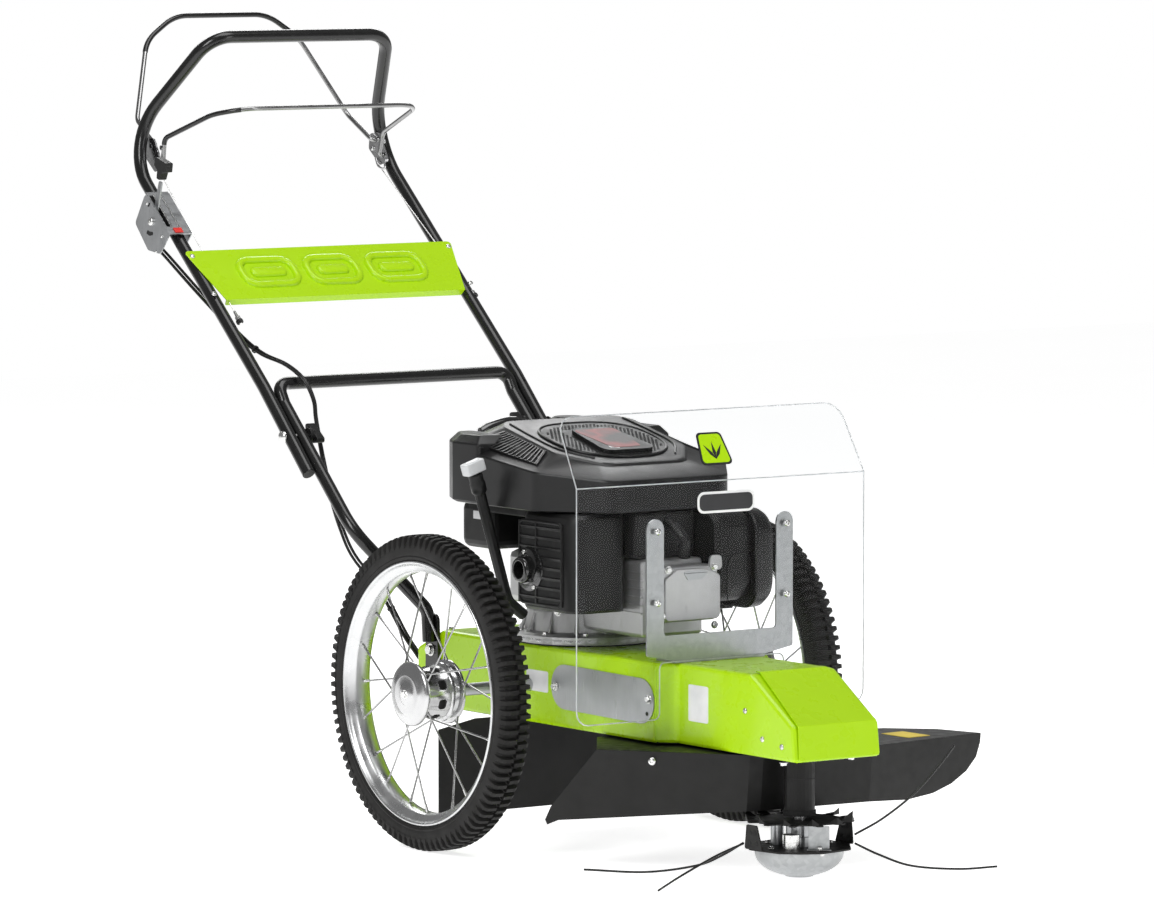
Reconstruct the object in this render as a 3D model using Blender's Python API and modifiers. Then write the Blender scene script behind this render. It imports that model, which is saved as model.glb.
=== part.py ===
"""Wheeled brush mower: two spoked wheels, a long sheet-steel chassis, a vertical-shaft engine and a line head.

Metres, +Z up, the ground at z = 0. The cutting head is at the front, towards -Y, and the operator walks behind,
at +Y. Every shape is drawn in the axle frame, whose y = 0 is the axle and x = 0 the middle of the chassis, and
one empty then moves the whole machine so that the middle of its footprint is the origin.
"""

import math

import bmesh
import bpy
from mathutils import Matrix, Vector

# ---------------------------------------------------------------- driving dimensions
GAP = 0.0003
FOOTPRINT_MIDDLE = Vector((0.0259, 0.2098, 0.0))

WHEEL_RADIUS = 0.254
TRACK_HALF = 0.3083
TYRE_HALF_WIDTH = 0.0265
RIM_RADIUS = 0.2132
RIM_HALF_WIDTH = 0.025
HUB_RADIUS = 0.052
HUB_BARREL_RADIUS = 0.041
HUB_FLANGE_X = 0.034
AXLE_RADIUS = 0.010
SPOKES = 20

CHASSIS_TOP = 0.320
CHASSIS_BOTTOM = 0.192
CHASSIS_REAR_Y = 0.325
CHASSIS_HALF = 0.112
CHASSIS_FRONT_HALF = 0.084
CHASSIS_NECK_Y = -0.346
CHASSIS_SHEET = 0.003
NOSE_TOP_Y = -0.555
NOSE_FOLD = (-0.668, 0.247)
NOSE_FOOT_Y = -0.674

HEAD_Y = -0.574
BOWL_RADIUS = 0.070
BOWL_HEIGHT = 0.044
LINE_PLATE_RADIUS = 0.088
LINE_PLATE_Z = 0.0445
ANTI_WRAP_Z = 0.088
HOUSING_RADIUS = 0.0243
SHAFT_RADIUS = 0.010
HEAD_AZIMUTH = math.radians(-35.4)
LINE_RADIUS = 0.0018

TUBE = 0.011
HANDLE_X = 0.2555
FRAME_X = 0.2320
FOLD_Y = 0.488
FOLD_Z = 0.630
BAR_Y = 0.842
BAR_Z = 1.281
BAIL_WIRE = 0.004
BRACKET_X = 0.2305
BRAKE_PIVOT = (0.953, 1.094)
DRIVE_PIVOT = (0.930, 1.068)
LEVER_X = -0.2735
LEVER_PIVOT = (0.876, 0.969)

ENGINE_FLANGE_RADIUS = 0.118
ENGINE_BASE_Z = CHASSIS_TOP + 2 * GAP
COWL_LOW = 0.547
DECK_SLOPE = 0.23
BELT_Z = 0.2745
FUEL_CAP = (0.050, 0.118)
FUEL_CAP_Z = 0.6560
FUEL_CAP_RADIUS = 0.0320
ENGINE_PULLEY_RADIUS = 0.040
SPINDLE_PULLEY_RADIUS = 0.037
GROOVE_DEPTH = 0.007

SCREEN_HALF = 0.282
SCREEN_Y = -0.370
SCREEN_FOLD_Z = 0.606
SCREEN_LEAN = math.radians(30.0)

PARTS = "brush_mower"
CUTTERS = "cutters"


# ---------------------------------------------------------------- scene helpers
def clear_scene():
    for obj in list(bpy.data.objects):
        bpy.data.objects.remove(obj, do_unlink=True)


def collection(name):
    found = bpy.data.collections.get(name)
    if found is None:
        found = bpy.data.collections.new(name)
        bpy.context.scene.collection.children.link(found)
    return found


def material(name, colour, roughness, metallic=0.0, alpha=1.0):
    made = bpy.data.materials.new(name)
    made.use_nodes = True
    shader = made.node_tree.nodes["Principled BSDF"]
    shader.inputs["Base Color"].default_value = (*colour, 1.0)
    shader.inputs["Roughness"].default_value = roughness
    shader.inputs["Metallic"].default_value = metallic
    shader.inputs["Alpha"].default_value = alpha
    return made


def mesh_object(name, bm, group=PARTS):
    mesh = bpy.data.meshes.new(name)
    bm.normal_update()
    bm.to_mesh(mesh)
    bm.free()
    obj = bpy.data.objects.new(name, mesh)
    collection(group).objects.link(obj)
    return obj


def baked(obj):
    """The object again as a plain mesh, with its modifiers or its curve worked out and its seams welded."""
    bpy.context.view_layer.update()
    graph = bpy.context.evaluated_depsgraph_get()
    mesh = bpy.data.meshes.new_from_object(obj.evaluated_get(graph), depsgraph=graph)
    bm = bmesh.new()
    bm.from_mesh(mesh)
    bmesh.ops.remove_doubles(bm, verts=bm.verts, dist=1e-6)
    bm.to_mesh(mesh)
    bm.free()
    name = obj.name
    place = obj.matrix_world.copy()
    group = obj.users_collection[0]
    for spent in obj.children_recursive:
        bpy.data.objects.remove(spent, do_unlink=True)
    bpy.data.objects.remove(obj, do_unlink=True)
    made = bpy.data.objects.new(name, mesh)
    made.matrix_world = place
    group.objects.link(made)
    return made


def smooth(obj, degrees=35.0):
    obj.data.shade_smooth()
    obj.data.set_sharp_from_angle(angle=math.radians(degrees))
    return obj


def boolean(obj, other, operation):
    """Cuts or joins other, which joins the cutters and follows obj from here on, into obj."""
    for group in other.users_collection:
        group.objects.unlink(other)
    collection(CUTTERS).objects.link(other)
    other.hide_render = True
    other.display_type = "WIRE"
    other.parent = obj
    other.matrix_parent_inverse = obj.matrix_basis.inverted()
    modifier = obj.modifiers.new(other.name, "BOOLEAN")
    modifier.operation = operation
    modifier.solver = "EXACT"
    modifier.object = other
    return obj


def cut(obj, *cutters):
    for cutter in cutters:
        boolean(obj, cutter, "DIFFERENCE")
    return obj


def join(obj, *others):
    for other in others:
        boolean(obj, other, "UNION")
    return obj


def bevel(obj, width, segments=2, degrees=40.0):
    modifier = obj.modifiers.new("rounded_edges", "BEVEL")
    modifier.width = width
    modifier.segments = segments
    modifier.limit_method = "ANGLE"
    modifier.angle_limit = math.radians(degrees)
    return obj


# ---------------------------------------------------------------- shape helpers
def block(name, low, high):
    low, high = Vector(low), Vector(high)
    bm = bmesh.new()
    bmesh.ops.create_cube(bm, size=1.0)
    bmesh.ops.scale(bm, vec=high - low, verts=bm.verts)
    bmesh.ops.translate(bm, vec=(low + high) / 2, verts=bm.verts)
    return mesh_object(name, bm)


def along(start, end):
    """A matrix that takes the Z axis onto the line from start to end, centred between them."""
    start, end = Vector(start), Vector(end)
    turn = (end - start).to_track_quat("Z", "Y").to_matrix().to_4x4()
    return Matrix.Translation((start + end) / 2) @ turn


def rod(name, start, end, radius, sides=20, end_radius=None):
    bm = bmesh.new()
    bmesh.ops.create_cone(
        bm,
        cap_ends=True,
        segments=sides,
        radius1=radius,
        radius2=radius if end_radius is None else end_radius,
        depth=(Vector(end) - Vector(start)).length,
        matrix=along(start, end),
    )
    return mesh_object(name, bm)


def turned(name, profile, centre=(0, 0, 0), axis="Z", steps=32):
    """A turned solid. The profile's (radius, height) points run down the outer side, top to bottom."""
    bm = bmesh.new()
    points = [bm.verts.new((radius, 0.0, height)) for radius, height in profile]
    closed = profile[0][0] > 0.0
    for first, second in zip(points, points[1:] + points[:1]):
        if closed or second is not points[0]:
            bm.edges.new((first, second))
    obj = mesh_object(name, bm)
    screw = obj.modifiers.new("turn", "SCREW")
    screw.steps = steps
    screw.render_steps = steps
    screw.use_merge_vertices = True
    screw.merge_threshold = 0.00005
    if axis == "X":
        obj.rotation_euler = (0.0, math.pi / 2, 0.0)
    if axis == "-X":
        obj.rotation_euler = (0.0, -math.pi / 2, 0.0)
    if axis == "-Y":
        obj.rotation_euler = (math.pi / 2, 0.0, 0.0)
    obj.location = centre
    return obj


def filleted(corners, radius, steps=6):
    """The corner points with each inner corner replaced by an arc of the radius, or of its own from a list."""
    corners = [Vector(corner) for corner in corners]
    radii = radius if isinstance(radius, (list, tuple)) else [radius] * (len(corners) - 2)
    points = [corners[0]]
    for before, corner, after, size in zip(corners, corners[1:], corners[2:], radii):
        back = (before - corner).normalized()
        on = (after - corner).normalized()
        half = back.angle(on) / 2
        reach = size / math.tan(half)
        centre = corner + (back + on).normalized() * (size / math.sin(half))
        start = corner + back * reach - centre
        normal = start.cross(corner + on * reach - centre).normalized()
        sweep = math.pi - 2 * half
        for step in range(steps + 1):
            turn = Matrix.Rotation(sweep * step / steps, 3, normal)
            points.append(centre + turn @ start)
    points.append(corners[-1])
    return points


def tube(name, points, radius, resolution=2):
    curve = bpy.data.curves.new(name, "CURVE")
    curve.dimensions = "3D"
    curve.bevel_depth = radius
    curve.bevel_resolution = resolution
    curve.use_fill_caps = True
    spline = curve.splines.new("POLY")
    spline.points.add(len(points) - 1)
    for point, place in zip(spline.points, points):
        point.co = (*place, 1.0)
    obj = bpy.data.objects.new(name, curve)
    collection(PARTS).objects.link(obj)
    return obj


def smooth_route(knots, count):
    """Points evenly spread by knot along a Catmull-Rom curve through the knots."""
    knots = [Vector(knot) for knot in knots]
    ends = [2 * knots[0] - knots[1]] + knots + [2 * knots[-1] - knots[-2]]
    points = []
    for step in range(count):
        place = step * (len(knots) - 1) / (count - 1)
        first = min(int(place), len(knots) - 2)
        t = place - first
        a, b, c, d = ends[first : first + 4]
        points.append(
            0.5 * (2 * b + (c - a) * t + (2 * a - 5 * b + 4 * c - d) * t**2 + (3 * b - 3 * c + d - a) * t**3)
        )
    return points


def circle(centre, radius, sides=16):
    return [
        (centre[0] + radius * math.cos(2 * math.pi * k / sides),
        centre[1] + radius * math.sin(2 * math.pi * k / sides))
        for k in range(sides)
    ]


def rounded_outline(corners, radius, steps=4):
    """A closed flat outline with every corner rounded, by one radius or a list of them."""
    radii = radius if isinstance(radius, (list, tuple)) else [radius] * len(corners)
    count = len(corners)
    points = []
    for k, corner in enumerate(corners):
        if radii[k] == 0.0:
            points.append(tuple(corner))
            continue
        three = [(*corners[k - 1], 0.0), (*corner, 0.0), (*corners[(k + 1) % count], 0.0)]
        points.extend((p.x, p.y) for p in filleted(three, radii[k], steps)[1:-1])
    return points


def plate(name, outline, thickness, place, holes=()):
    """A flat sheet: its outline in its own plane, and a matrix that puts that plane in the machine."""
    curve = bpy.data.curves.new(name, "CURVE")
    curve.dimensions = "2D"
    curve.fill_mode = "BOTH"
    curve.extrude = thickness / 2
    for ring in (outline, *holes):
        spline = curve.splines.new("POLY")
        spline.points.add(len(ring) - 1)
        spline.use_cyclic_u = True
        for point, (u, v) in zip(spline.points, ring):
            point.co = (u, v, 0.0, 1.0)
    obj = bpy.data.objects.new(name, curve)
    collection(PARTS).objects.link(obj)
    obj.matrix_world = place
    return obj


def facing(centre, across, up):
    """A matrix whose first axis is across and second is up, at the centre."""
    across = Vector(across).normalized()
    normal = across.cross(Vector(up)).normalized()
    matrix = Matrix((across, normal.cross(across), normal)).transposed().to_4x4()
    return Matrix.Translation(centre) @ matrix


def crease(bm, point, across):
    """Splits the flat sheet's faces along a line, so that it can bend there."""
    sheet = bm.verts[:] + bm.edges[:] + bm.faces[:]
    bmesh.ops.bisect_plane(bm, geom=sheet, dist=0.00002, plane_co=point, plane_no=across)


def folded(name, outline, folds, place, thickness, offset=0.0):
    """A bent sheet: the flat outline, creased where v reaches each fold, laid in space by place(u, v)."""
    bm = bmesh.new()
    bm.faces.new([bm.verts.new((u, v, 0.0)) for u, v in outline])
    for fold in folds:
        crease(bm, (0.0, fold, 0.0), (0.0, 1.0, 0.0))
    bmesh.ops.triangulate(bm, faces=bm.faces[:])
    for vert in bm.verts:
        vert.co = place(vert.co.x, vert.co.y)
    obj = mesh_object(name, bm)
    solid = obj.modifiers.new("sheet", "SOLIDIFY")
    solid.thickness = thickness
    solid.offset = offset
    return obj


def prism(name, outline, low, high):
    """A solid standing on a plan outline, from one height to another."""
    bm = bmesh.new()
    base = [bm.verts.new((x, y, low)) for x, y in outline]
    face = bm.faces.new(base)
    grown = bmesh.ops.extrude_face_region(bm, geom=[face])
    top = [item for item in grown["geom"] if isinstance(item, bmesh.types.BMVert)]
    bmesh.ops.translate(bm, vec=(0.0, 0.0, high - low), verts=top)
    bmesh.ops.recalc_face_normals(bm, faces=bm.faces[:])
    return mesh_object(name, bm)


def side_prism(name, outline, left, right):
    """A solid whose side outline, as (y, z) points, runs across from one x to another."""
    bm = bmesh.new()
    face = bm.faces.new([bm.verts.new((left, y, z)) for y, z in outline])
    grown = bmesh.ops.extrude_face_region(bm, geom=[face])
    far = [item for item in grown["geom"] if isinstance(item, bmesh.types.BMVert)]
    bmesh.ops.translate(bm, vec=(right - left, 0.0, 0.0), verts=far)
    bmesh.ops.recalc_face_normals(bm, faces=bm.faces[:])
    return mesh_object(name, bm)


# ---------------------------------------------------------------- bodies
class Machine:
    """The empties that the parts hang from: one for the machine and one on each moving body's joint."""

    def __init__(self):
        self.root = self.empty("machine", None, (0, 0, 0))
        self.root.location = -FOOTPRINT_MIDDLE

    def empty(self, name, parent, place):
        made = bpy.data.objects.new(name, None)
        made.empty_display_size = 0.03
        collection(PARTS).objects.link(made)
        made.parent = parent
        made.location = place
        return made

    def joint(self, name, place):
        return self.empty(name, self.root, place)

    def hang(self, obj, parent, colour):
        obj.data.materials.clear()
        obj.data.materials.append(colour)
        if obj.type == "MESH":
            smooth(obj)
        if parent is not self.root:
            obj.location = obj.location - parent.location
        obj.parent = parent
        return obj


# ---------------------------------------------------------------- chassis
def chassis_plan(inset=0.0, front=NOSE_FOOT_Y - 0.02):
    """The chassis from above: wide round the engine, then a neck and a slim front arm."""
    wide, slim = CHASSIS_HALF - inset, CHASSIS_FRONT_HALF - inset
    right = [(wide, CHASSIS_REAR_Y - inset), (wide, CHASSIS_NECK_Y), (slim, CHASSIS_NECK_Y - 0.020),
        (slim, front)]
    return [(-x, y) for x, y in right] + [(x, y) for x, y in reversed(right)]


def chassis_side(inset=0.0, drop=0.0):
    """The chassis from the side, with the sloped rear corner and the sloped nose."""
    fold_y, fold_z = NOSE_FOLD
    return [
        (CHASSIS_REAR_Y - inset, CHASSIS_BOTTOM - drop),
        (CHASSIS_REAR_Y - inset, 0.286 - inset / 2),
        (0.252 - inset / 2, CHASSIS_TOP - inset),
        (NOSE_TOP_Y + inset / 2, CHASSIS_TOP - inset),
        (fold_y + inset, fold_z - inset / 2),
        (NOSE_FOOT_Y + inset, CHASSIS_BOTTOM - drop),
    ]


def nose_place(u, v):
    """The nose cover's developed sheet: v runs from its top lip down the slope and the front face."""
    fold_y, fold_z = NOSE_FOLD
    path = [(NOSE_TOP_Y + 0.012, CHASSIS_TOP), (NOSE_TOP_Y, CHASSIS_TOP), (fold_y, fold_z),
        (NOSE_FOOT_Y, CHASSIS_BOTTOM)]
    left = v
    for (y0, z0), (y1, z1) in zip(path, path[1:]):
        length = math.hypot(y1 - y0, z1 - z0)
        if left <= length + 1e-9:
            return Vector((u, y0 + (y1 - y0) * left / length, z0 + (z1 - z0) * left / length))
        left -= length
    return Vector((u, path[-1][0], path[-1][1]))


def build_chassis(machine, paint, black, steel):
    root = machine.root
    shell = side_prism("chassis_frame", chassis_side(), -0.2, 0.2)
    boolean(shell, prism("chassis_plan", chassis_plan(), 0.15, 0.36), "INTERSECT")
    shell = bevel(baked(shell), 0.006, 2, 30.0)
    hollow = side_prism("chassis_inside", chassis_side(CHASSIS_SHEET, 0.02), -0.2, 0.2)
    boolean(hollow, prism("chassis_inside_plan", chassis_plan(CHASSIS_SHEET), 0.15, 0.36), "INTERSECT")
    cut(
        shell,
        baked(hollow),
        rod("crank_hole", (0, 0, 0.30), (0, 0, 0.34), 0.045, 24),
        rod("axle_hole", (-0.2, 0, WHEEL_RADIUS), (0.2, 0, WHEEL_RADIUS), AXLE_RADIUS + 0.0006, 16),
        block("nose_opening", (-0.060, -0.70, 0.206), (0.060, NOSE_TOP_Y - 0.014, 0.34)),
    )
    machine.hang(shell, root, paint)

    slope = math.hypot(NOSE_FOLD[0] - NOSE_TOP_Y, NOSE_FOLD[1] - CHASSIS_TOP)
    face = math.hypot(NOSE_FOOT_Y - NOSE_FOLD[0], CHASSIS_BOTTOM - NOSE_FOLD[1])
    high, foot = 0.012, 0.012 + slope + face - 0.003
    outline = rounded_outline([(-0.064, 0.0), (0.064, 0.0), (0.076, high + slope), (0.078, foot),
        (-0.078, foot), (-0.076, high + slope)], 0.002, 2)
    nose = folded("nose_cover", outline, (high, high + slope), nose_place, 0.002, -1.0)
    nose.location = Vector((0.0, -0.0016, 0.0013))
    machine.hang(nose, root, paint)

    plan = chassis_plan(CHASSIS_SHEET + 0.0007, NOSE_FOOT_Y + 0.008)
    belly = prism("belly_cover", plan, CHASSIS_BOTTOM + 0.0005, CHASSIS_BOTTOM + 0.0030)
    cut(belly, rod("spindle_pass", (0, HEAD_Y, 0.18), (0, HEAD_Y, 0.21), HOUSING_RADIUS + 0.0005, 32))
    machine.hang(belly, root, black)

    for side, name in ((-1, "inspection_plate_right"), (1, "inspection_plate_left")):
        ends = rounded_outline([(-0.140, -0.036), (0.140, -0.036), (0.140, 0.036), (-0.140, 0.036)], 0.0355,
            6)
        place = facing((side * (CHASSIS_HALF + 0.0012), -0.203, 0.258), (0, -1, -0.010), (0, 0, 1))
        machine.hang(plate(name, ends, 0.0016, place), root, steel)


def build_guards(machine, black):
    """The black sheets that keep cuttings off the belt, the wheels and the operator."""
    root = machine.root
    top_z = CHASSIS_BOTTOM - 0.0030
    route = [(-0.262, -0.268), (-0.215, -0.330), (-0.062, -0.528), (-0.040, -0.534), (0.165, -0.546),
        (0.410, -0.512)]
    lengths = [0.0]
    for first, second in zip(route, route[1:]):
        lengths.append(lengths[-1] + math.dist(first, second))

    def stand(u, v):
        for k in range(len(route) - 1):
            if u <= lengths[k + 1] + 1e-9 or k == len(route) - 2:
                part = (u - lengths[k]) / (lengths[k + 1] - lengths[k])
                x = route[k][0] + part * (route[k + 1][0] - route[k][0])
                y = route[k][1] + part * (route[k + 1][1] - route[k][1])
                return Vector((x, y + 0.10 * (top_z - v), v))
        return Vector((0, 0, 0))

    far = lengths[-1]
    curl = [(far - 0.16 * (1 - math.cos(a)), top_z - 0.014 - 0.080 * math.sin(a))
        for a in (0.0, 0.3, 0.6, 0.9, 1.2, 1.5708)]
    outline = [(lengths[1], top_z), (far, top_z)] + curl + [(lengths[4], 0.100), (lengths[2], 0.100),
        (0.022, 0.074), (0.004, 0.066), (0.0, 0.074), (0.008, 0.095)]
    bm = bmesh.new()
    bm.faces.new([bm.verts.new((u, v, 0.0)) for u, v in outline])
    for fold in lengths[1:-1]:
        crease(bm, (fold, 0.0, 0.0), (1.0, 0.0, 0.0))
    bmesh.ops.triangulate(bm, faces=bm.faces[:])
    for vert in bm.verts:
        vert.co = stand(vert.co.x, vert.co.y)
    blade = mesh_object("front_deflector", bm)
    solid = blade.modifiers.new("sheet", "SOLIDIFY")
    solid.thickness = 0.002
    solid.offset = 0.0
    flange = [(-0.2150, -0.3300), (-0.0620, -0.5275), (-0.0400, -0.5336), (0.1650, -0.5456),
        (0.4096, -0.5116)]
    flange += [(0.385, -0.432), (0.322, -0.372), (0.200, -0.345), (0.10, -0.300), (-0.090, -0.190),
        (-0.125, -0.205)]
    shelf = prism("deflector_flange", flange, top_z - 0.0016, top_z + 0.0004)
    join(blade, shelf)
    machine.hang(blade, root, black)

    half = 0.222
    skirt = [(-half, 0.038), (half, 0.038), (half, 0.150), (0.150, CHASSIS_BOTTOM - 0.0005),
        (-0.150, CHASSIS_BOTTOM - 0.0005), (-half, 0.178)]
    outline = [(x, z) for x, z in skirt]
    guard = plate("rear_skirt", outline, 0.0025, facing((0, 0.100, 0), (1, 0, 0), (0, 0, 1)))
    machine.hang(guard, root, black)


def build_screen(machine, zinc, clear):
    root = machine.root
    low, base, leg = 0.3245, 0.365, 0.550
    outer, inner = 0.1435, 0.1105
    corners = [(-outer, low + 0.010), (-0.088, low), (0.088, low), (outer, low + 0.010), (outer, leg),
        (inner, leg), (inner, base), (-inner, base), (-inner, leg), (-outer, leg)]
    radii = [0.004, 0.0, 0.0, 0.004, 0.016, 0.016, 0.006, 0.006, 0.016, 0.016]
    face_y = SCREEN_Y + 0.0062
    holes = [circle((side * 0.127, height), 0.0034, 10) for side in (-1, 1) for height in (0.418, 0.531)]
    bracket = baked(plate("windshield_bracket", rounded_outline(corners, radii, 4), 0.003,
        facing((0, face_y, 0), (1, 0, 0), (0, 0, 1)), holes))
    foot = block("bracket_foot", (-0.088, face_y - 0.0005, CHASSIS_TOP + GAP),
        (0.088, face_y + 0.050, CHASSIS_TOP + GAP + 0.003))
    rise = block("bracket_bend", (-0.088, face_y - 0.0015, CHASSIS_TOP + GAP),
        (0.088, face_y + 0.0015, low + 0.004))
    join(bracket, foot, rise)
    machine.hang(bracket, root, zinc)

    edge, cut_half, cut_top, bottom = SCREEN_HALF, 0.122, 0.3235, 0.234
    rise_length = 0.124
    corners = [(-edge, bottom), (-cut_half, bottom), (-cut_half, cut_top), (cut_half, cut_top),
        (cut_half, bottom), (edge, bottom), (edge, SCREEN_FOLD_Z),
        (edge - 0.006, SCREEN_FOLD_Z + rise_length), (-edge + 0.006, SCREEN_FOLD_Z + rise_length),
        (-edge, SCREEN_FOLD_Z)]
    radii = [0.022, 0.010, 0.010, 0.010, 0.010, 0.022, 0.0, 0.030, 0.030, 0.0]

    def lean(u, v):
        past = max(0.0, v - SCREEN_FOLD_Z)
        return Vector((u, SCREEN_Y + past * math.sin(SCREEN_LEAN),
            min(v, SCREEN_FOLD_Z) + past * math.cos(SCREEN_LEAN)))

    screen = folded("windshield", rounded_outline(corners, radii, 4), (SCREEN_FOLD_Z,), lean, 0.004, 0.0)
    machine.hang(screen, root, clear)


# ---------------------------------------------------------------- wheels
def wheel(machine, side, label, rubber, alloy, chrome):
    """One wheel: its tyre, its rim and its spoked hub, turned about the axle."""
    centre = Vector((side * TRACK_HALF, 0.0, WHEEL_RADIUS))
    parent = machine.joint(f"wheel_{label}_axis", centre)
    axis = "X" if side > 0 else "-X"
    w, rim, lip = TYRE_HALF_WIDTH, RIM_RADIUS, RIM_HALF_WIDTH
    tread = [(WHEEL_RADIUS - 0.004, w), (WHEEL_RADIUS, w * 0.55), (WHEEL_RADIUS, -w * 0.55),
        (WHEEL_RADIUS - 0.004, -w)]
    wall = [(rim + 0.012, w - 0.001), (rim + 0.0006, lip - 0.002)]
    profile = [wall[1], wall[0]] + tread + [(r, -h) for r, h in wall]
    machine.hang(turned(f"tyre_{label}", profile, centre, axis, 48), parent, rubber)

    well = rim - 0.020
    profile = [(rim, lip), (rim - 0.004, lip - 0.003), (rim - 0.004, -lip + 0.003), (rim, -lip)]
    profile += [(rim - 0.009, -lip), (well, -lip + 0.010), (well, lip - 0.010), (rim - 0.009, lip)]
    machine.hang(turned(f"rim_{label}", profile, centre, axis, 48), parent, alloy)

    big, barrel, flange, bore = HUB_RADIUS, HUB_BARREL_RADIUS, HUB_FLANGE_X, AXLE_RADIUS + 0.0006
    profile = [(0.0, 0.050), (0.011, 0.050), (0.013, 0.045), (0.030, 0.0455), (0.034, 0.042),
        (0.048, 0.0405), (big, 0.037), (big, 0.031), (barrel, 0.028)]
    profile += [(barrel, -0.028), (big, -0.031), (big, -0.036), (0.030, -0.038), (0.024, -0.044),
        (bore, -0.044), (bore, 0.036), (0.0, 0.036)]
    hub = baked(turned(f"hub_{label}", profile, centre, axis, 20))
    for k in range(SPOKES):
        outer = 1 if k % 2 else -1
        lean = 0.30 * (1 if k % 4 < 2 else -1)
        start, end = 2 * math.pi * k / SPOKES, 2 * math.pi * (k + lean) / SPOKES
        low = (outer * (flange - 0.001) * side, 0.046 * math.cos(start), 0.046 * math.sin(start))
        reach = well - 0.0045
        high = (outer * 0.004 * side, reach * math.cos(end), reach * math.sin(end))
        join(hub, rod(f"spoke_{label}_{k}", centre + Vector(low), centre + Vector(high), 0.0016, 5))
    machine.hang(baked(hub), parent, chrome)


def build_axle(machine, steel, cast):
    root = machine.root
    reach = TRACK_HALF + 0.032
    shaft = rod("axle", (-reach, 0, WHEEL_RADIUS), (reach, 0, WHEEL_RADIUS), AXLE_RADIUS, 20)
    machine.hang(shaft, root, steel)
    box = bevel(block("gearbox", (0.048, -0.042, 0.212), (0.100, 0.042, 0.298)), 0.006)
    cut(box, rod("gearbox_bore", (0, 0, WHEEL_RADIUS), (0.15, 0, WHEEL_RADIUS), AXLE_RADIUS + 0.0006, 20))
    machine.hang(box, root, cast)


# ---------------------------------------------------------------- belt drive and cutting head
def grooved(radius, centre_z, bore):
    """The profile of a pulley with a belt groove, bored for its shaft."""
    half, groove = 0.0068, radius - GROOVE_DEPTH
    return [
        (radius, centre_z + half),
        (radius, centre_z + 0.0052),
        (groove, centre_z + 0.0045),
        (groove, centre_z - 0.0045),
        (radius, centre_z - 0.0052),
        (radius, centre_z - half),
        (bore, centre_z - half),
        (bore, centre_z + half),
    ]


def belt_loop(offset):
    """The belt's path round both pulleys, offset outwards from the grooves."""
    back, front = ENGINE_PULLEY_RADIUS - GROOVE_DEPTH + offset, SPINDLE_PULLEY_RADIUS - GROOVE_DEPTH + offset
    tilt = math.asin((back - front) / abs(HEAD_Y))
    rear = [(back * math.cos(a), back * math.sin(a)) for a in (-tilt + (math.pi + 2 * tilt) * k / 12
        for k in range(13))]
    fore = [(front * math.cos(a), HEAD_Y + front * math.sin(a))
        for a in (math.pi + tilt + (math.pi - 2 * tilt) * k / 12 for k in range(13))]
    return rear + fore


def build_drive(machine, crank, head, steel, rubber):
    pulley = turned("engine_pulley", grooved(ENGINE_PULLEY_RADIUS, BELT_Z, 0.004), steps=24)
    shaft = rod("crank_stub", (0, 0, BELT_Z - 0.0055), (0, 0, 0.352), 0.0125, 24)
    pulley = join(baked(pulley), shaft)
    pulley.location = (0.0, 0.0, 0.0)
    machine.hang(pulley, crank, steel)
    belt = plate("drive_belt", belt_loop(0.0060), 0.0080, facing((0, 0, BELT_Z), (1, 0, 0), (0, 1, 0)),
        [belt_loop(0.0006)])
    machine.hang(belt, machine.root, rubber)
    profile = grooved(SPINDLE_PULLEY_RADIUS, BELT_Z, SHAFT_RADIUS + GAP)
    machine.hang(turned("spindle_pulley", profile, (0, HEAD_Y, 0), steps=24), head, steel)


def ear(sign):
    """One upturned, slotted ear of the line plate, in the head's own frame along its X axis."""
    low, high = LINE_PLATE_Z + 0.001, LINE_PLATE_Z + 0.042
    corners = [(-0.022, low - 0.002), (0.022, low - 0.002), (0.013, high), (-0.013, high)]
    reach = LINE_PLATE_RADIUS
    place = facing((sign * (reach - 0.006), 0, 0), (0, 1, 0), (-sign * 0.10, 0, 1))
    slot = rounded_outline([(-0.008, low + 0.012), (0.008, low + 0.012), (0.008, low + 0.020),
        (-0.008, low + 0.020)], 0.0035, 3)
    hole = circle((0.0, low + 0.006), 0.0030, 8)
    return baked(plate(f"ear_{'far' if sign > 0 else 'near'}", rounded_outline(corners, 0.003, 3), 0.0025,
        place, [slot, hole]))


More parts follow.
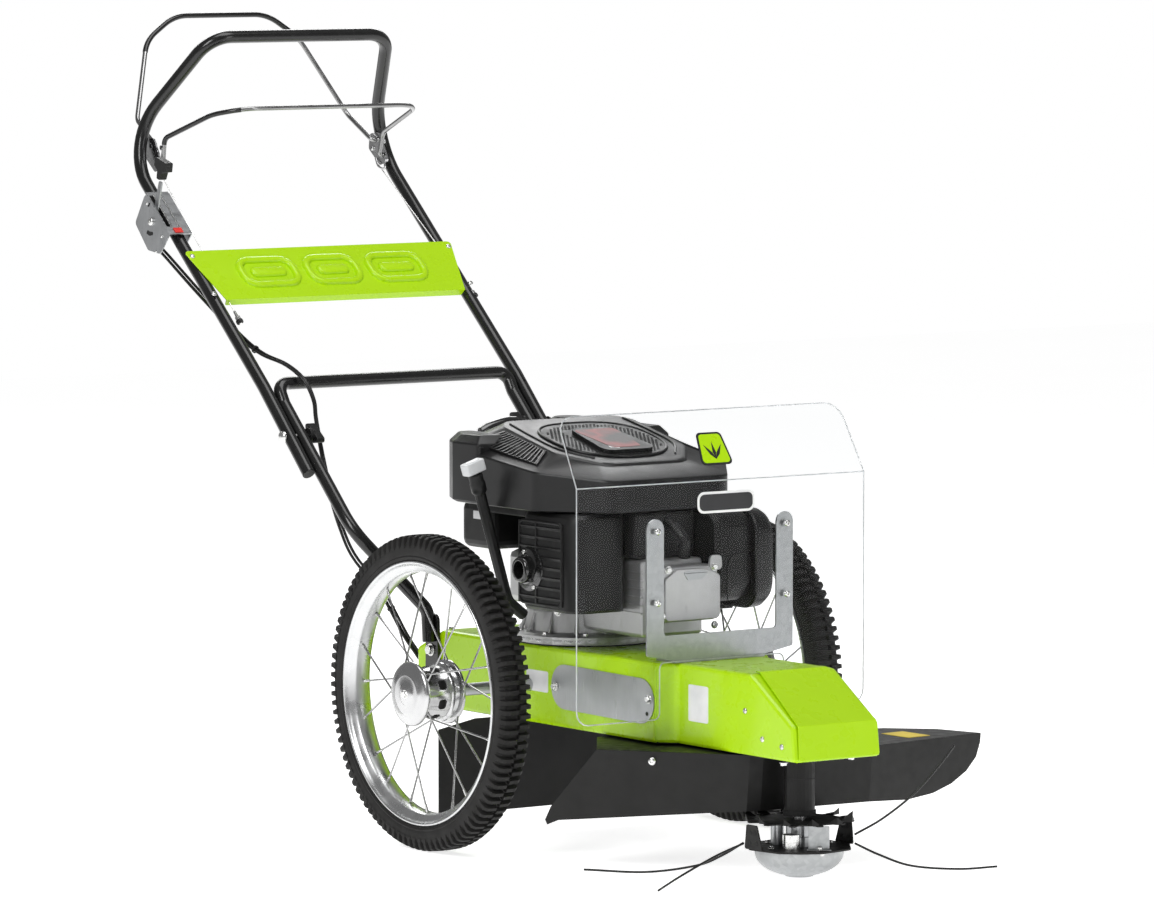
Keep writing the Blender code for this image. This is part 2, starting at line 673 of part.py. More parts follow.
def build_head(machine, head, black, zinc, bright, chrome):
    """The cutting head: fixed bearing housing above, and everything below it on the spinning shaft."""
    r, bore = HOUSING_RADIUS, SHAFT_RADIUS + 0.0010
    profile = [(0.046, 0.2100), (0.046, 0.2055), (r, 0.2050), (r, 0.0960), (bore, 0.0960), (bore, 0.2560),
        (0.016, 0.2560), (0.018, 0.2100)]
    machine.hang(turned("spindle_housing", profile, (0, HEAD_Y, 0), steps=24), machine.root, black)
    shaft = rod("spindle_shaft", (0, HEAD_Y, LINE_PLATE_Z + 0.0033), (0, HEAD_Y, 0.2840), SHAFT_RADIUS, 24)
    machine.hang(shaft, head, chrome)

    teeth = 12
    outline = []
    for k in range(teeth):
        start = 2 * math.pi * k / teeth
        for part, radius in ((0.0, 0.070), (0.30, 0.072), (0.42, 0.086), (0.62, 0.0865), (0.74, 0.071)):
            angle = start + part * 2 * math.pi / teeth
            outline.append((radius * math.cos(angle), radius * math.sin(angle)))
    disc = plate("anti_wrap_disc", outline, 0.0022, facing((0, HEAD_Y, ANTI_WRAP_Z), (1, 0, 0), (0, 1, 0)),
        [circle((0, 0), SHAFT_RADIUS + GAP, 24)])
    machine.hang(disc, head, black)

    low = LINE_PLATE_Z + 0.0031
    profile = [(0.021, 0.0863), (0.021, low + 0.016), (0.023, low + 0.015), (0.023, low),
        (SHAFT_RADIUS + GAP, low), (SHAFT_RADIUS + GAP, 0.0863)]
    machine.hang(turned("head_drum", profile, (0, HEAD_Y, 0), steps=24), head, bright)

    eight = [(LINE_PLATE_RADIUS * x, LINE_PLATE_RADIUS * y) for x,
        y in ((1, 0.30), (0.62, 0.74), (-0.62, 0.74), (-1, 0.30), (-1, -0.30), (-0.62, -0.74),
        (0.62, -0.74), (1, -0.30))]
    flat = baked(plate("line_plate", rounded_outline(eight, 0.010, 3), 0.003,
        facing((0, 0, LINE_PLATE_Z + 0.0015), (1, 0, 0), (0, 1, 0))))
    clip = block("line_clip_rise", (0.012, -0.052, LINE_PLATE_Z + 0.002), (0.046, -0.0495, 0.0865))
    clip_top = block("line_clip_top", (0.012, -0.052, 0.0840), (0.046, -0.030, 0.0865))
    join(flat, ear(1), ear(-1), clip, clip_top)
    flat = baked(flat)
    turn = Matrix.Translation((0, HEAD_Y, 0)) @ Matrix.Rotation(HEAD_AZIMUTH, 4, "Z")
    flat.matrix_world = turn @ flat.matrix_world
    machine.hang(flat, head, black)

    rim, h = BOWL_RADIUS, BOWL_HEIGHT - GAP
    profile = [(0.0, h), (rim, h), (rim, h - 0.008)]
    profile += [(rim * math.cos(a) ** 0.8, (h - 0.008) * (1 - math.sin(a))) for a in (0.30, 0.60, 0.90, 1.15)]
    profile += [(0.022, 0.0), (0.0, 0.0)]
    machine.hang(turned("skid_bowl", profile, (0, HEAD_Y, 0), steps=36), head, zinc)


def line_route(name):
    """The knots of one cutting line as (reach from the spindle, sideways, height), in the head's frame."""
    return {
        "trimmer_line_1": [(-0.0865, 0.004, 0.0515), (-0.1227, 0.004, 0.0300), (-0.1617, 0.004, 0.0150),
        (-0.2399, 0.004, 0.0050), (-0.3368, 0.004, 0.0089)],
        "trimmer_line_2": [(-0.0865, -0.004, 0.0515), (-0.1300, -0.020, 0.0340), (-0.1850, -0.085, 0.0120),
        (-0.2220, -0.190, 0.0040)],
        "trimmer_line_3": [(0.0865, -0.004, 0.0515), (0.1257, -0.004, 0.0330), (0.1758, -0.004, 0.0160),
        (0.2485, -0.004, 0.0110), (0.3096, -0.004, 0.0150)],
        "trimmer_line_4": [(0.0865, 0.004, 0.0640), (0.1309, 0.004, 0.0898), (0.1799, 0.004, 0.1292),
        (0.2187, 0.004, 0.1733), (0.2420, 0.004, 0.2047)],
    }[name]


def build_lines(machine, head, nylon):
    turn = Matrix.Translation((0, HEAD_Y, 0)) @ Matrix.Rotation(HEAD_AZIMUTH, 4, "Z")
    for k in range(1, 5):
        name = f"trimmer_line_{k}"
        points = [turn @ point for point in smooth_route(line_route(name), 13)]
        machine.hang(tube(name, points, LINE_RADIUS, 2), head, nylon)


# ---------------------------------------------------------------- engine
def superellipse(half_x, half_y, centre, power_front, power_rear, count=40):
    """A plan ring that is rounder at the front (-Y) than at the rear."""
    ring = []
    for k in range(count):
        angle = 2 * math.pi * k / count
        c, s = math.cos(angle), math.sin(angle)
        power = power_rear if s > 0 else power_front
        size = (abs(c) ** power + abs(s) ** power) ** (-1.0 / power)
        ring.append((centre[0] + half_x * size * c, centre[1] + half_y * size * s))
    return ring


def loft(name, rings):
    """A closed solid through rings of equal counts of points, bottom to top."""
    bm = bmesh.new()
    rows = [[bm.verts.new(point) for point in ring] for ring in rings]
    count = len(rows[0])
    for low, high in zip(rows, rows[1:]):
        for k in range(count):
            bm.faces.new((low[k], low[(k + 1) % count], high[(k + 1) % count], high[k]))
    bm.faces.new(list(reversed(rows[0])))
    bm.faces.new(rows[-1])
    bmesh.ops.recalc_face_normals(bm, faces=bm.faces[:])
    return mesh_object(name, bm)


def cowl_top(y):
    """The height of the cowl's sloped top deck."""
    return 0.652 + DECK_SLOPE * (y + 0.03)


def build_engine(machine, colours):
    root = machine.root
    black, cast, gloss, dark = colours
    z = ENGINE_BASE_Z
    r = ENGINE_FLANGE_RADIUS
    profile = [(0.088, 0.386), (0.096, 0.372), (0.100, z + 0.020), (r - 0.004, z + 0.018), (r, z + 0.014),
        (r, z + 0.002), (r - 0.006, z), (0.0135, z), (0.0135, 0.386)]
    base = baked(turned("engine_base", profile, steps=40))
    cylinder = block("cylinder_block", (-0.060, -0.238, z + 0.026), (0.060, -0.060, 0.470))
    case = block("upper_crankcase", (-0.092, -0.045, 0.380), (0.092, 0.092, 0.4660))
    join(base, bevel(cylinder, 0.006), bevel(case, 0.012))
    machine.hang(baked(base), root, cast)

    rocker = bevel(block("rocker_cover", (-0.056, -0.286, 0.374), (0.056, -0.2385, 0.462)), 0.008, 3)
    machine.hang(rocker, root, cast)

    guard = block("muffler_guard", (-0.172, -0.212, 0.388), (-0.064, -0.052, 0.5455))
    guard = bevel(baked(guard), 0.012, 3)
    inside = block("guard_inside", (-0.1695, -0.2095, 0.3905), (-0.0400, -0.0545, 0.5430))
    cut(guard, bevel(inside, 0.0095, 3))
    for k in range(8):
        low = 0.405 + 0.0155 * k
        cut(guard, block(f"louvre_{k}", (-0.18, -0.196, low), (-0.16, -0.118, low + 0.006)))
    cut(guard, rod("outlet_pass", (-0.19, -0.088, 0.452), (-0.15, -0.088, 0.452), 0.0225, 20))
    machine.hang(guard, root, black)
    body = bevel(block("muffler", (-0.150, -0.195, 0.402), (-0.066, -0.066, 0.528)), 0.010)
    machine.hang(body, root, dark)
    outlet = turned(
        "exhaust_outlet",
        [(0.014, 0.046), (0.021, 0.044), (0.021, 0.026), (0.036, 0.0245), (0.036, 0.0235), (0.036, 0.0225),
        (0.021, 0.0225), (0.021, 0.0005), (0.013, 0.0005), (0.013, 0.040)],
        (-0.1505, -0.088, 0.452),
        "-X",
        20,
    )
    machine.hang(outlet, root, gloss)

    shroud = bevel(block("cylinder_shroud", (-0.0625, -0.222, 0.4715), (0.0560, -0.020, 0.5455)), 0.006)
    machine.hang(shroud, root, black)

    boot = tube("spark_plug_boot", filleted([(0.012, -0.250, 0.4725), (0.012, -0.256, 0.500),
        (0.002, -0.2360, 0.524)], 0.010, 3), 0.0090, 3)
    machine.hang(boot, root, black)

    case = bevel(block("air_filter_case", (0.0615, -0.272, 0.398), (0.1335, -0.110, 0.5440)), 0.010, 3)
    machine.hang(case, root, black)
    cover = bevel(block("air_filter_cover", (0.1345, -0.280, 0.384), (0.1800, -0.102, 0.5455)), 0.014, 3)
    machine.hang(cover, root, black)

    tank = bevel(block("fuel_tank", (-0.150, 0.052, 0.4690), (0.150, 0.142, COWL_LOW - 0.0008)), 0.014, 3)
    machine.hang(tank, root, dark)

    rings = []
    middle = (0.0, -0.045)
    for size, low_front, low_rear in ((1.0, COWL_LOW, COWL_LOW), (1.0, 0.588, 0.632), (0.955, 0.600, 0.646)):
        ring = superellipse(0.190 * size, 0.187 * size, middle, 2.3, 4.5)
        rings.append([(x, y, low_front + (low_rear - low_front) * (y + 0.232) / 0.374) for x, y in ring])
    deck = superellipse(0.128, 0.118, (0.0, -0.045), 2.3, 3.2)
    rings.append([(x, y, cowl_top(y)) for x, y in deck])
    cowl = loft("blower_cowl", rings)
    cut(cowl, rod("cap_recess", (*FUEL_CAP, FUEL_CAP_Z - 0.0005), (*FUEL_CAP, 0.72),
        FUEL_CAP_RADIUS + 0.0025, 32))
    machine.hang(cowl, root, black)

    emblem = rounded_outline([(-0.052, -0.070), (0.052, -0.070), (0.040, 0.050), (-0.040, 0.050)], 0.016, 3)
    slope = Vector((0, 1, DECK_SLOPE))
    lift = Vector((0, -DECK_SLOPE, 1)).normalized() * 0.0045
    place = facing(Vector((0, -0.055, cowl_top(-0.055))) + lift, (1, 0, 0), slope)
    machine.hang(plate("top_emblem_plate", emblem, 0.008, place), root, gloss)

    tube_low, tube_high = (-0.1245, 0.000, 0.368), (-0.226, -0.010, 0.602)
    bend = (-0.158, -0.004, 0.392)
    filler = tube("oil_fill_tube", filleted([tube_low, bend, tube_high], 0.03, 4), 0.0095, 3)
    machine.hang(filler, root, black)


def build_engine_moving(machine, cap_body, stick_body, grip_body, black, grey):
    base = Vector(cap_body.location)
    r = FUEL_CAP_RADIUS
    profile = [(0.0, 0.0165), (r - 0.005, 0.0165), (r - 0.0015, 0.0135), (r, 0.0110), (r, 0.0), (0.0, 0.0)]
    cap = turned("fuel_cap", profile, base, steps=24)
    machine.hang(cap, cap_body, black)

    top = Vector((-0.226, -0.010, 0.602))
    line = (top - Vector((-0.158, -0.004, 0.392))).normalized()
    across = Vector((0, 1, 0)).cross(line).normalized()
    place = facing(top + line * 0.011, across, Vector((0, 1, 0)))
    head = rounded_outline([(-0.019, -0.011), (0.019, -0.011), (0.019, 0.011), (-0.019, 0.011)], 0.004, 3)
    knob = baked(plate("oil_dipstick", head, 0.020, place))
    machine.hang(bevel(knob, 0.002, 1), stick_body, grey)

    centre = Vector(grip_body.location)
    half = Vector((0.034, 0.002, 0.0075))
    grip = rod("starter_grip", centre - half, centre + half, 0.0095, 16)
    machine.hang(bevel(grip, 0.004, 2), grip_body, black)


# ---------------------------------------------------------------- handles and controls
def handle_path():
    x = HANDLE_X
    near = [(-x, 0.430, 0.5725), (-x, 0.565, 0.7075), (-x, 1.000, 1.0950), (-0.180, BAR_Y, BAR_Z)]
    corners = near + [(-a, b, c) for a, b, c in reversed(near)]
    return filleted(corners, [0.12, 0.10, 0.055, 0.055, 0.10, 0.12], 5)


def frame_path():
    x = FRAME_X
    near = [(-0.1265, 0.268, 0.300), (-0.1265, 0.272, 0.352), (-x, 0.336, 0.485), (-x, 0.540, 0.680),
        (-x, 0.560, 0.712)]
    corners = near + [(-a, b, c) for a, b, c in reversed(near)]
    return filleted(corners, [0.03, 0.09, 0.02, 0.020, 0.020, 0.02, 0.09, 0.03], 4)


def build_frames(machine, handle, black):
    bolt = ((-0.3, FOLD_Y, FOLD_Z), (0.3, FOLD_Y, FOLD_Z))
    lower = baked(tube("lower_frame", frame_path(), TUBE, 2))
    for side in (-1, 1):
        tab = rounded_outline([(-0.019, -0.052), (0.019, -0.052), (0.016, 0.050), (-0.016, 0.050)], 0.012, 3)
        place = facing((side * (CHASSIS_HALF + 0.0036), 0.272, 0.296), (0, 1, 0), (0, 0.04, 1))
        join(lower, baked(plate(f"leg_tab_{side}", tab, 0.006, place)))
        boss = rod(f"leg_bolt_{side}", (side * (CHASSIS_HALF + 0.005), 0.2735, 0.286),
            (side * (CHASSIS_HALF + 0.0125), 0.2735, 0.286), 0.0085, 6)
        join(lower, boss)
    cut(lower, rod("fold_bore_lower", *bolt, 0.0046, 12))
    machine.hang(baked(lower), machine.root, black)

    bar = baked(tube("handlebar", handle_path(), TUBE, 2))
    cut(bar, rod("fold_bore_upper", *bolt, 0.0046, 12))
    machine.hang(baked(bar), handle, black)


def along_tube(distance, lift, x=0.0):
    """A point beside the handle's straight side: distance up from its bend, lift off its upper face."""
    direction = Vector((0, 0.435, 0.3875)).normalized()
    normal = Vector((0, -direction.z, direction.y))
    return Vector((x, 0.565, 0.7075)) + direction * distance + normal * lift


def build_rear_panel(machine, handle, paint):
    low, high = 0.192, 0.309
    outline = rounded_outline([(-0.270, low - 0.012), (0.270, low - 0.012), (0.270, high), (-0.270, high)],
        [0.002, 0.002, 0.006, 0.006], 2)

    def lay(u, v):
        if v >= low:
            return along_tube(v, TUBE + 0.0022, u)
        return along_tube(low, TUBE + 0.0022 - (low - v), u)

    panel = folded("rear_panel", [(u * (0.89 if v < low - 0.001 else 1.0), v) for u, v in outline], (low,),
        lay, 0.0018, 0.0)
    machine.hang(panel, handle, paint)


def build_controls(machine, handle, lever_body, steel, chrome, black):
    """The throttle's steel housing on the right-hand tube and its lever."""
    across = (0, 0.435, 0.3875)
    up = (0, -0.3875, 0.435)
    anchor = along_tube(0.400, 0.0)
    side = rounded_outline([(-0.052, -0.030), (-0.020, -0.052), (0.040, -0.046), (0.050, 0.0165),
        (-0.052, 0.0165)], 0.008, 3)
    outer = baked(plate("control_box", side, 0.0018, facing(anchor + Vector((-0.2810, 0, 0)), across, up)))
    web = block("control_web", (-0.052, -0.0009, -0.0230), (0.050, 0.0009, 0.0215))
    web.matrix_world = facing(anchor + Vector((-0.2593, 0, 0)), across,
        up) @ Matrix.Translation((0, 0.0158, 0))
    inner_side = rounded_outline([(-0.052, -0.010), (0.050, -0.010), (0.050, 0.0165), (-0.052, 0.0165)],
        0.003, 2)
    inner = baked(plate("control_inner", inner_side, 0.0018,
        facing(anchor + Vector((-0.2375, 0, 0)), across, up)))
    join(outer, web, inner)
    slot = block("lever_slot", (-0.034, -0.004, -0.0075), (0.042, 0.004, 0.0035))
    slot.matrix_world = facing(anchor + Vector((-0.2715, 0, 0)), across,
        up) @ Matrix.Translation((0, 0.0158, 0))
    cut(outer, slot)
    machine.hang(baked(outer), handle, steel)

    low = Vector((LEVER_X, *LEVER_PIVOT))
    top = low + Vector((0.0, -0.022, 0.070))
    arm = baked(plate("throttle_lever", rounded_outline([(-0.0065, -0.007), (0.0065, -0.007),
        (0.0045, 0.073), (-0.0045, 0.073)], 0.003, 2), 0.0028, facing(low, (0, 1, 0.31), (0, -0.31, 1))))
    machine.hang(arm, lever_body, steel)
    knob = baked(plate("throttle_knob", rounded_outline([(-0.005, 0.0), (0.005, 0.0), (0.007, 0.014),
        (0.019, 0.019), (0.017, 0.034), (-0.017, 0.034), (-0.019, 0.019), (-0.007, 0.014)], 0.002, 2),
        0.014, facing(top + Vector((0, -0.0008, 0.0035)), (0, 1, 0.31), (0, -0.31, 1))))
    machine.hang(bevel(knob, 0.003, 2), lever_body, black)

    for sign, label in ((-1, "right"), (1, "left")):
        outline = rounded_outline([(0.914, 1.058), (0.940, 1.050), (0.975, 1.078), (0.972, 1.104),
            (0.944, 1.108)], 0.007, 3)
        holes = [circle(BRAKE_PIVOT, 0.0048, 12), circle(DRIVE_PIVOT, 0.0048, 12)]
        place = facing((sign * BRACKET_X, 0, 0), (0, 1, 0), (0, 0, 1))
        machine.hang(plate(f"bail_bracket_{label}", outline, 0.003, place, holes), handle, chrome)


def bail_path(near, radius):
    corners = near + [(-x, y, z) for x, y, z in reversed(near)]
    return filleted(corners, radius + radius[::-1], 3)


def build_bails(machine, brake_body, drive_body, black, chrome):
    """The two spring-returned wire bails, each bent from one wire whose ends pivot in the brackets."""
    y, z = BRAKE_PIVOT
    near = [(-BRACKET_X - 0.0025, y, z), (-0.2210, y, z), (-0.2160, 1.022, 1.136), (-0.1560, 1.086, 1.270),
        (-0.0950, 1.093, 1.311)]
    machine.hang(tube("brake_bail", bail_path(near, [0.008, 0.015, 0.045, 0.050]), BAIL_WIRE, 2),
        brake_body, black)
    y, z = DRIVE_PIVOT
    near = [(-BRACKET_X - 0.0025, y, z), (-0.2215, y, z), (-0.2235, 0.922, 1.108), (-0.2050, 0.800, 1.152),
        (-0.1700, 0.758, 1.162)]
    machine.hang(tube("drive_bail", bail_path(near, [0.006, 0.012, 0.030, 0.030]), BAIL_WIRE, 2),
        drive_body, chrome)


def build_clamps(machine, bodies, black):
    """The two bolts that clamp the folding handle, each with its wing knob on the inside."""
    for sign, label in ((-1, "right"), (1, "left")):
        inner = FRAME_X - TUBE - 0.0010
        outer = HANDLE_X + TUBE + 0.0010
        bolt = rod(f"clamp_knob_{label}", (sign * (inner - 0.010), FOLD_Y, FOLD_Z),
            (sign * (outer + 0.001), FOLD_Y, FOLD_Z), 0.0040, 12)
        head = rod(f"clamp_head_{label}", (sign * outer, FOLD_Y, FOLD_Z),
            (sign * (outer + 0.006), FOLD_Y, FOLD_Z), 0.0090, 16)
        hub = rod(f"clamp_hub_{label}", (sign * inner, FOLD_Y, FOLD_Z),
            (sign * (inner - 0.020), FOLD_Y, FOLD_Z), 0.0110, 16)
        wing = rounded_outline([(-0.021, -0.006), (0.021, -0.006), (0.024, 0.006), (-0.024, 0.006)], 0.005, 3)
        wings = baked(plate(f"clamp_wing_{label}", wing, 0.016,
            facing((sign * (inner - 0.014), FOLD_Y, FOLD_Z), (0, 0.8, 0.6), (0, -0.6, 0.8))))
        join(bolt, head, hub, wings)
        machine.hang(baked(bolt), bodies[label], black)


def build_cables(machine, handle, rubber):
    """The control cables, clipped along the right-hand tube and parted at the fold."""
    upper = [(-0.2620, 0.851, 0.9085), (-0.2470, 0.778, 0.8530), (-0.2350, 0.669, 0.7850),
        (-0.2240, 0.617, 0.7580)]
    upper += [(-0.2060, 0.572, 0.7420), (-0.1940, 0.536, 0.7180), (-0.1870, 0.518, 0.6850),
        (-0.1860, 0.514, 0.6550)]
    lower = [(-0.1860, 0.513, 0.6510), (-0.1880, 0.490, 0.5900), (-0.1980, 0.450, 0.5300),
        (-0.2080, 0.405, 0.4800)]
    lower += [(-0.2020, 0.376, 0.4350), (-0.1620, 0.352, 0.3750), (-0.1240, 0.3400, 0.3050),
        (-0.1000, 0.3330, 0.2700)]
    machine.hang(tube("upper_cables", smooth_route(upper, 20), 0.0042, 2), handle, rubber)
    machine.hang(tube("lower_cables", smooth_route(lower, 20), 0.0042, 2), machine.root, rubber)


# ---------------------------------------------------------------- the machine
def build():
    clear_scene()
    paint = material("lime_paint", (0.36, 0.68, 0.01), 0.30)
    satin_black = material("black_powder_coat", (0.02, 0.02, 0.02), 0.45)
    frame_black = material("black_tube_paint", (0.03, 0.03, 0.03), 0.35)
    plastic = material("black_plastic", (0.025, 0.025, 0.025), 0.5)
    gloss = material("gloss_black", (0.01, 0.01, 0.01), 0.15)
    dark = material("dark_plastic", (0.03, 0.03, 0.03), 0.6)
    rubber = material("rubber", (0.02, 0.02, 0.02), 0.8)
    nylon = material("nylon_line", (0.02, 0.02, 0.02), 0.4)
    zinc = material("galvanised_steel", (0.55, 0.56, 0.57), 0.35, 1.0)
    steel = material("steel_plate", (0.45, 0.46, 0.47), 0.4, 1.0)
    alloy = material("polished_alloy", (0.80, 0.81, 0.83), 0.15, 1.0)
    chrome = material("chrome", (0.75, 0.76, 0.78), 0.08, 1.0)
    cast = material("cast_aluminium", (0.60, 0.61, 0.62), 0.45, 1.0)
    grey = material("light_grey_plastic", (0.62, 0.63, 0.64), 0.5)
    clear = material("clear_polycarbonate", (0.92, 0.95, 0.97), 0.05, 0.0, 0.35)

    machine = Machine()
    head = machine.joint("head_axis", (0, HEAD_Y, LINE_PLATE_Z))
    crank = machine.joint("crank_axis", (0, 0, BELT_Z))
    handle = machine.joint("handle_fold", (0, FOLD_Y, FOLD_Z))
    brake = machine.joint("brake_pivot", (0, *BRAKE_PIVOT))
    drive = machine.joint("drive_pivot", (0, *DRIVE_PIVOT))
    lever = machine.joint("lever_pivot", (LEVER_X, *LEVER_PIVOT))
    clamps = {label: machine.joint(f"clamp_{label}", (sign * FRAME_X, FOLD_Y, FOLD_Z)) for sign,
        label in ((-1, "right"), (1, "left"))}
    cap = machine.joint("cap_axis", (*FUEL_CAP, FUEL_CAP_Z))
    stick = machine.joint("stick_axis", (-0.226, -0.010, 0.602))
    grip = machine.joint("grip_axis", (-0.085, 0.1270, 0.6630))

    build_chassis(machine, paint, satin_black, steel)
    build_guards(machine, satin_black)
    build_screen(machine, zinc, clear)
    build_axle(machine, steel, cast)
    for side, label in ((-1, "right"), (1, "left")):
        wheel(machine, side, label, rubber, alloy, chrome)
    build_drive(machine, crank, head, steel, rubber)
    build_head(machine, head, satin_black, zinc, steel, chrome)
    build_lines(machine, head, nylon)
    build_engine(machine, (plastic, cast, gloss, dark))
    build_engine_moving(machine, cap, stick, grip, plastic, grey)
    build_frames(machine, handle, frame_black)
    build_rear_panel(machine, handle, paint)
    build_controls(machine, handle, lever, steel, chrome, plastic)
    build_bails(machine, brake, drive, frame_black, chrome)
    build_clamps(machine, clamps, plastic)
    build_cables(machine, handle, rubber)


build()
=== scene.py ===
"""The brush mower's looks: procedural materials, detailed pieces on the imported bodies, a pale studio.

Metres, +Z up. Places are given in the axle frame, as in the model: y = 0 is the axle, x = 0 the chassis's
middle and z = 0 the ground, and at() takes them into the row frame. The head is towards -Y and the operator
stands at +Y.
"""

from math import cos, pi, radians, sin, sqrt, tan

import bmesh
import bpy
from mathutils import Matrix, Vector


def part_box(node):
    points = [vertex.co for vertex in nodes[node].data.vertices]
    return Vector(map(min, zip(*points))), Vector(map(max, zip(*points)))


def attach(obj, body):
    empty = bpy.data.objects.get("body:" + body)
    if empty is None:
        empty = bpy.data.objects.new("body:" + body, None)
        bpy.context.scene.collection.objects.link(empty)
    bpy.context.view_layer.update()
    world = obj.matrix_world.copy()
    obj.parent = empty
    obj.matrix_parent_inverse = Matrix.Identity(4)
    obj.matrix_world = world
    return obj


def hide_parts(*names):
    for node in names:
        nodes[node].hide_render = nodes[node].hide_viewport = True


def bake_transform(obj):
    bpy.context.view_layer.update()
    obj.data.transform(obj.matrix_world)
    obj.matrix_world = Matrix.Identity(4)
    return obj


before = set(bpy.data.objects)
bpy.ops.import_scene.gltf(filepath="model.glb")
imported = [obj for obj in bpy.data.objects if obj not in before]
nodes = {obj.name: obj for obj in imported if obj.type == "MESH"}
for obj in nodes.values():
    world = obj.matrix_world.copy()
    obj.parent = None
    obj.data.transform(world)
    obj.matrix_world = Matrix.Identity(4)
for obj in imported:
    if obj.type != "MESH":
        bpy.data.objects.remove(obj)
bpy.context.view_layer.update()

axle_low, axle_high = (Vector(corner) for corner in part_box("axle"))
ORIGIN = Vector(((axle_low.x + axle_high.x) / 2, (axle_low.y + axle_high.y) / 2, 0.0))
WHEEL_RADIUS = (axle_low.z + axle_high.z) / 2
TRACK_HALF = 0.3083  # from the middle to each wheel
HEAD_Y = -0.574
HEAD_AZIMUTH = radians(-35.4)
CHASSIS_TOP = 0.32
CHASSIS_HALF = 0.112
CHASSIS_FRONT_HALF = 0.084
HOME = Matrix.Translation(ORIGIN)
UP = Vector((0, 0, 1))

TUBE = 0.011
FOLD = (0.488, 0.63)  # y and z of the handle's pivot
RAIL_X = 0.2555  # the handle tube's straight side, and the lower frame's
FRAME_X = 0.232
RAIL = (0, 0.435, 0.3875)  # up along the handle's straight side, and square to it
RAIL_UP = (0, -0.3875, 0.435)
RAIL_FOOT = (0.565, 0.7075)  # y and z of its lower bend
BAIL_WIRE = 0.004  # radii of the bails, cable sheaths and cutting lines
CABLE = 0.0024
LINE = 0.0018
STICKER = 0.0006  # a label's thickness

DECK_HEIGHT = 0.652
DECK_SLOPE = 0.23
CREASE_HEIGHT = 0.6
DIPSTICK_SEAT = (-0.226, -0.01, 0.602)
DIPSTICK_FOOT = (-0.158, -0.004, 0.392)
LUGS = 100
SPOKES = 20

CAMERA_PLACE = (-6.804, -9.552, 1.61)
CAMERA_TURN, CAMERA_RISE = -0.61767, 0.0835
CAMERA_LENS = 226.57
FLOOR_HALF = 9.0
ROOM_LIGHT = 0.24
FLOOR_GLOW = 0.76
LIGHTS = (
    ("key_light", (-3.4, -1.6, 3.2), (1.4, 2.4), 95.0),
    ("fill_light", (1.6, -4.2, 1.6), (1.2, 2.4), 24.0),
    ("back_light", (1.4, 3.4, 2.8), (3.0, 1.2), 60.0),
    ("top_light", (0.2, -0.3, 3.8), (1.6, 2.8), 50.0),
)


def at(x, y, z):
    """A place in the axle frame, taken into the row frame."""
    return Vector((x, y, z)) + ORIGIN


# ---------------------------------------------------------------- materials
class Nodes:
    """A material's node tree, with short ways to add and join its nodes."""

    def __init__(self, name, colour, roughness, metallic=0.0):
        self.material = bpy.data.materials.new(name)
        self.material.use_nodes = True
        self.tree = self.material.node_tree
        self.shader = self.tree.nodes["Principled BSDF"]
        self.shader.inputs["Base Color"].default_value = (*colour, 1.0)
        self.shader.inputs["Roughness"].default_value = roughness
        self.shader.inputs["Metallic"].default_value = metallic
        self.place = self.tree.nodes.new("ShaderNodeTexCoord").outputs["Object"]

    def link(self, source, target):
        self.tree.links.new(source, target)

    def stretched(self, scale):
        node = self.tree.nodes.new("ShaderNodeMapping")
        node.inputs["Scale"].default_value = scale
        self.link(self.place, node.inputs["Vector"])
        return node.outputs["Vector"]

    def noise(self, scale, detail=4.0, vector=None):
        node = self.tree.nodes.new("ShaderNodeTexNoise")
        node.inputs["Scale"].default_value = scale
        node.inputs["Detail"].default_value = detail
        self.link(vector or self.place, node.inputs["Vector"])
        return node.outputs["Fac"]

    def cells(self, scale, feature="F1", output="Distance"):
        node = self.tree.nodes.new("ShaderNodeTexVoronoi")
        node.feature = feature
        node.inputs["Scale"].default_value = scale
        self.link(self.place, node.inputs["Vector"])
        return node.outputs[output]

    def ramp(self, source, *stops):
        node = self.tree.nodes.new("ShaderNodeValToRGB")
        while len(node.color_ramp.elements) < len(stops):
            node.color_ramp.elements.new(0.5)
        for element, (position, colour) in zip(node.color_ramp.elements, stops):
            element.position = position
            element.color = (*colour, 1.0)
        self.link(source, node.inputs["Fac"])
        return node.outputs["Color"]

    def spread(self, source, low, high):
        node = self.tree.nodes.new("ShaderNodeMapRange")
        node.inputs["From Min"].default_value = 0.3
        node.inputs["From Max"].default_value = 0.7
        node.inputs["To Min"].default_value = low
        node.inputs["To Max"].default_value = high
        self.link(source, node.inputs["Value"])
        return node.outputs["Result"]

    def bump(self, source, strength, distance):
        node = self.tree.nodes.new("ShaderNodeBump")
        node.inputs["Strength"].default_value = strength
        node.inputs["Distance"].default_value = distance
        self.link(source, node.inputs["Height"])
        self.link(node.outputs["Normal"], self.shader.inputs["Normal"])

    def colour(self, source):
        self.link(source, self.shader.inputs["Base Color"])

    def roughness(self, source):
        self.link(source, self.shader.inputs["Roughness"])

    def set(self, **values):
        for key, value in values.items():
            self.shader.inputs[key.replace("_", " ")].default_value = value


def shades(colour, amount):
    """A colour made darker and lighter by the amount."""
    return tuple(c * (1 - amount) for c in colour), tuple(min(1.0, c * (1 + amount)) for c in colour)


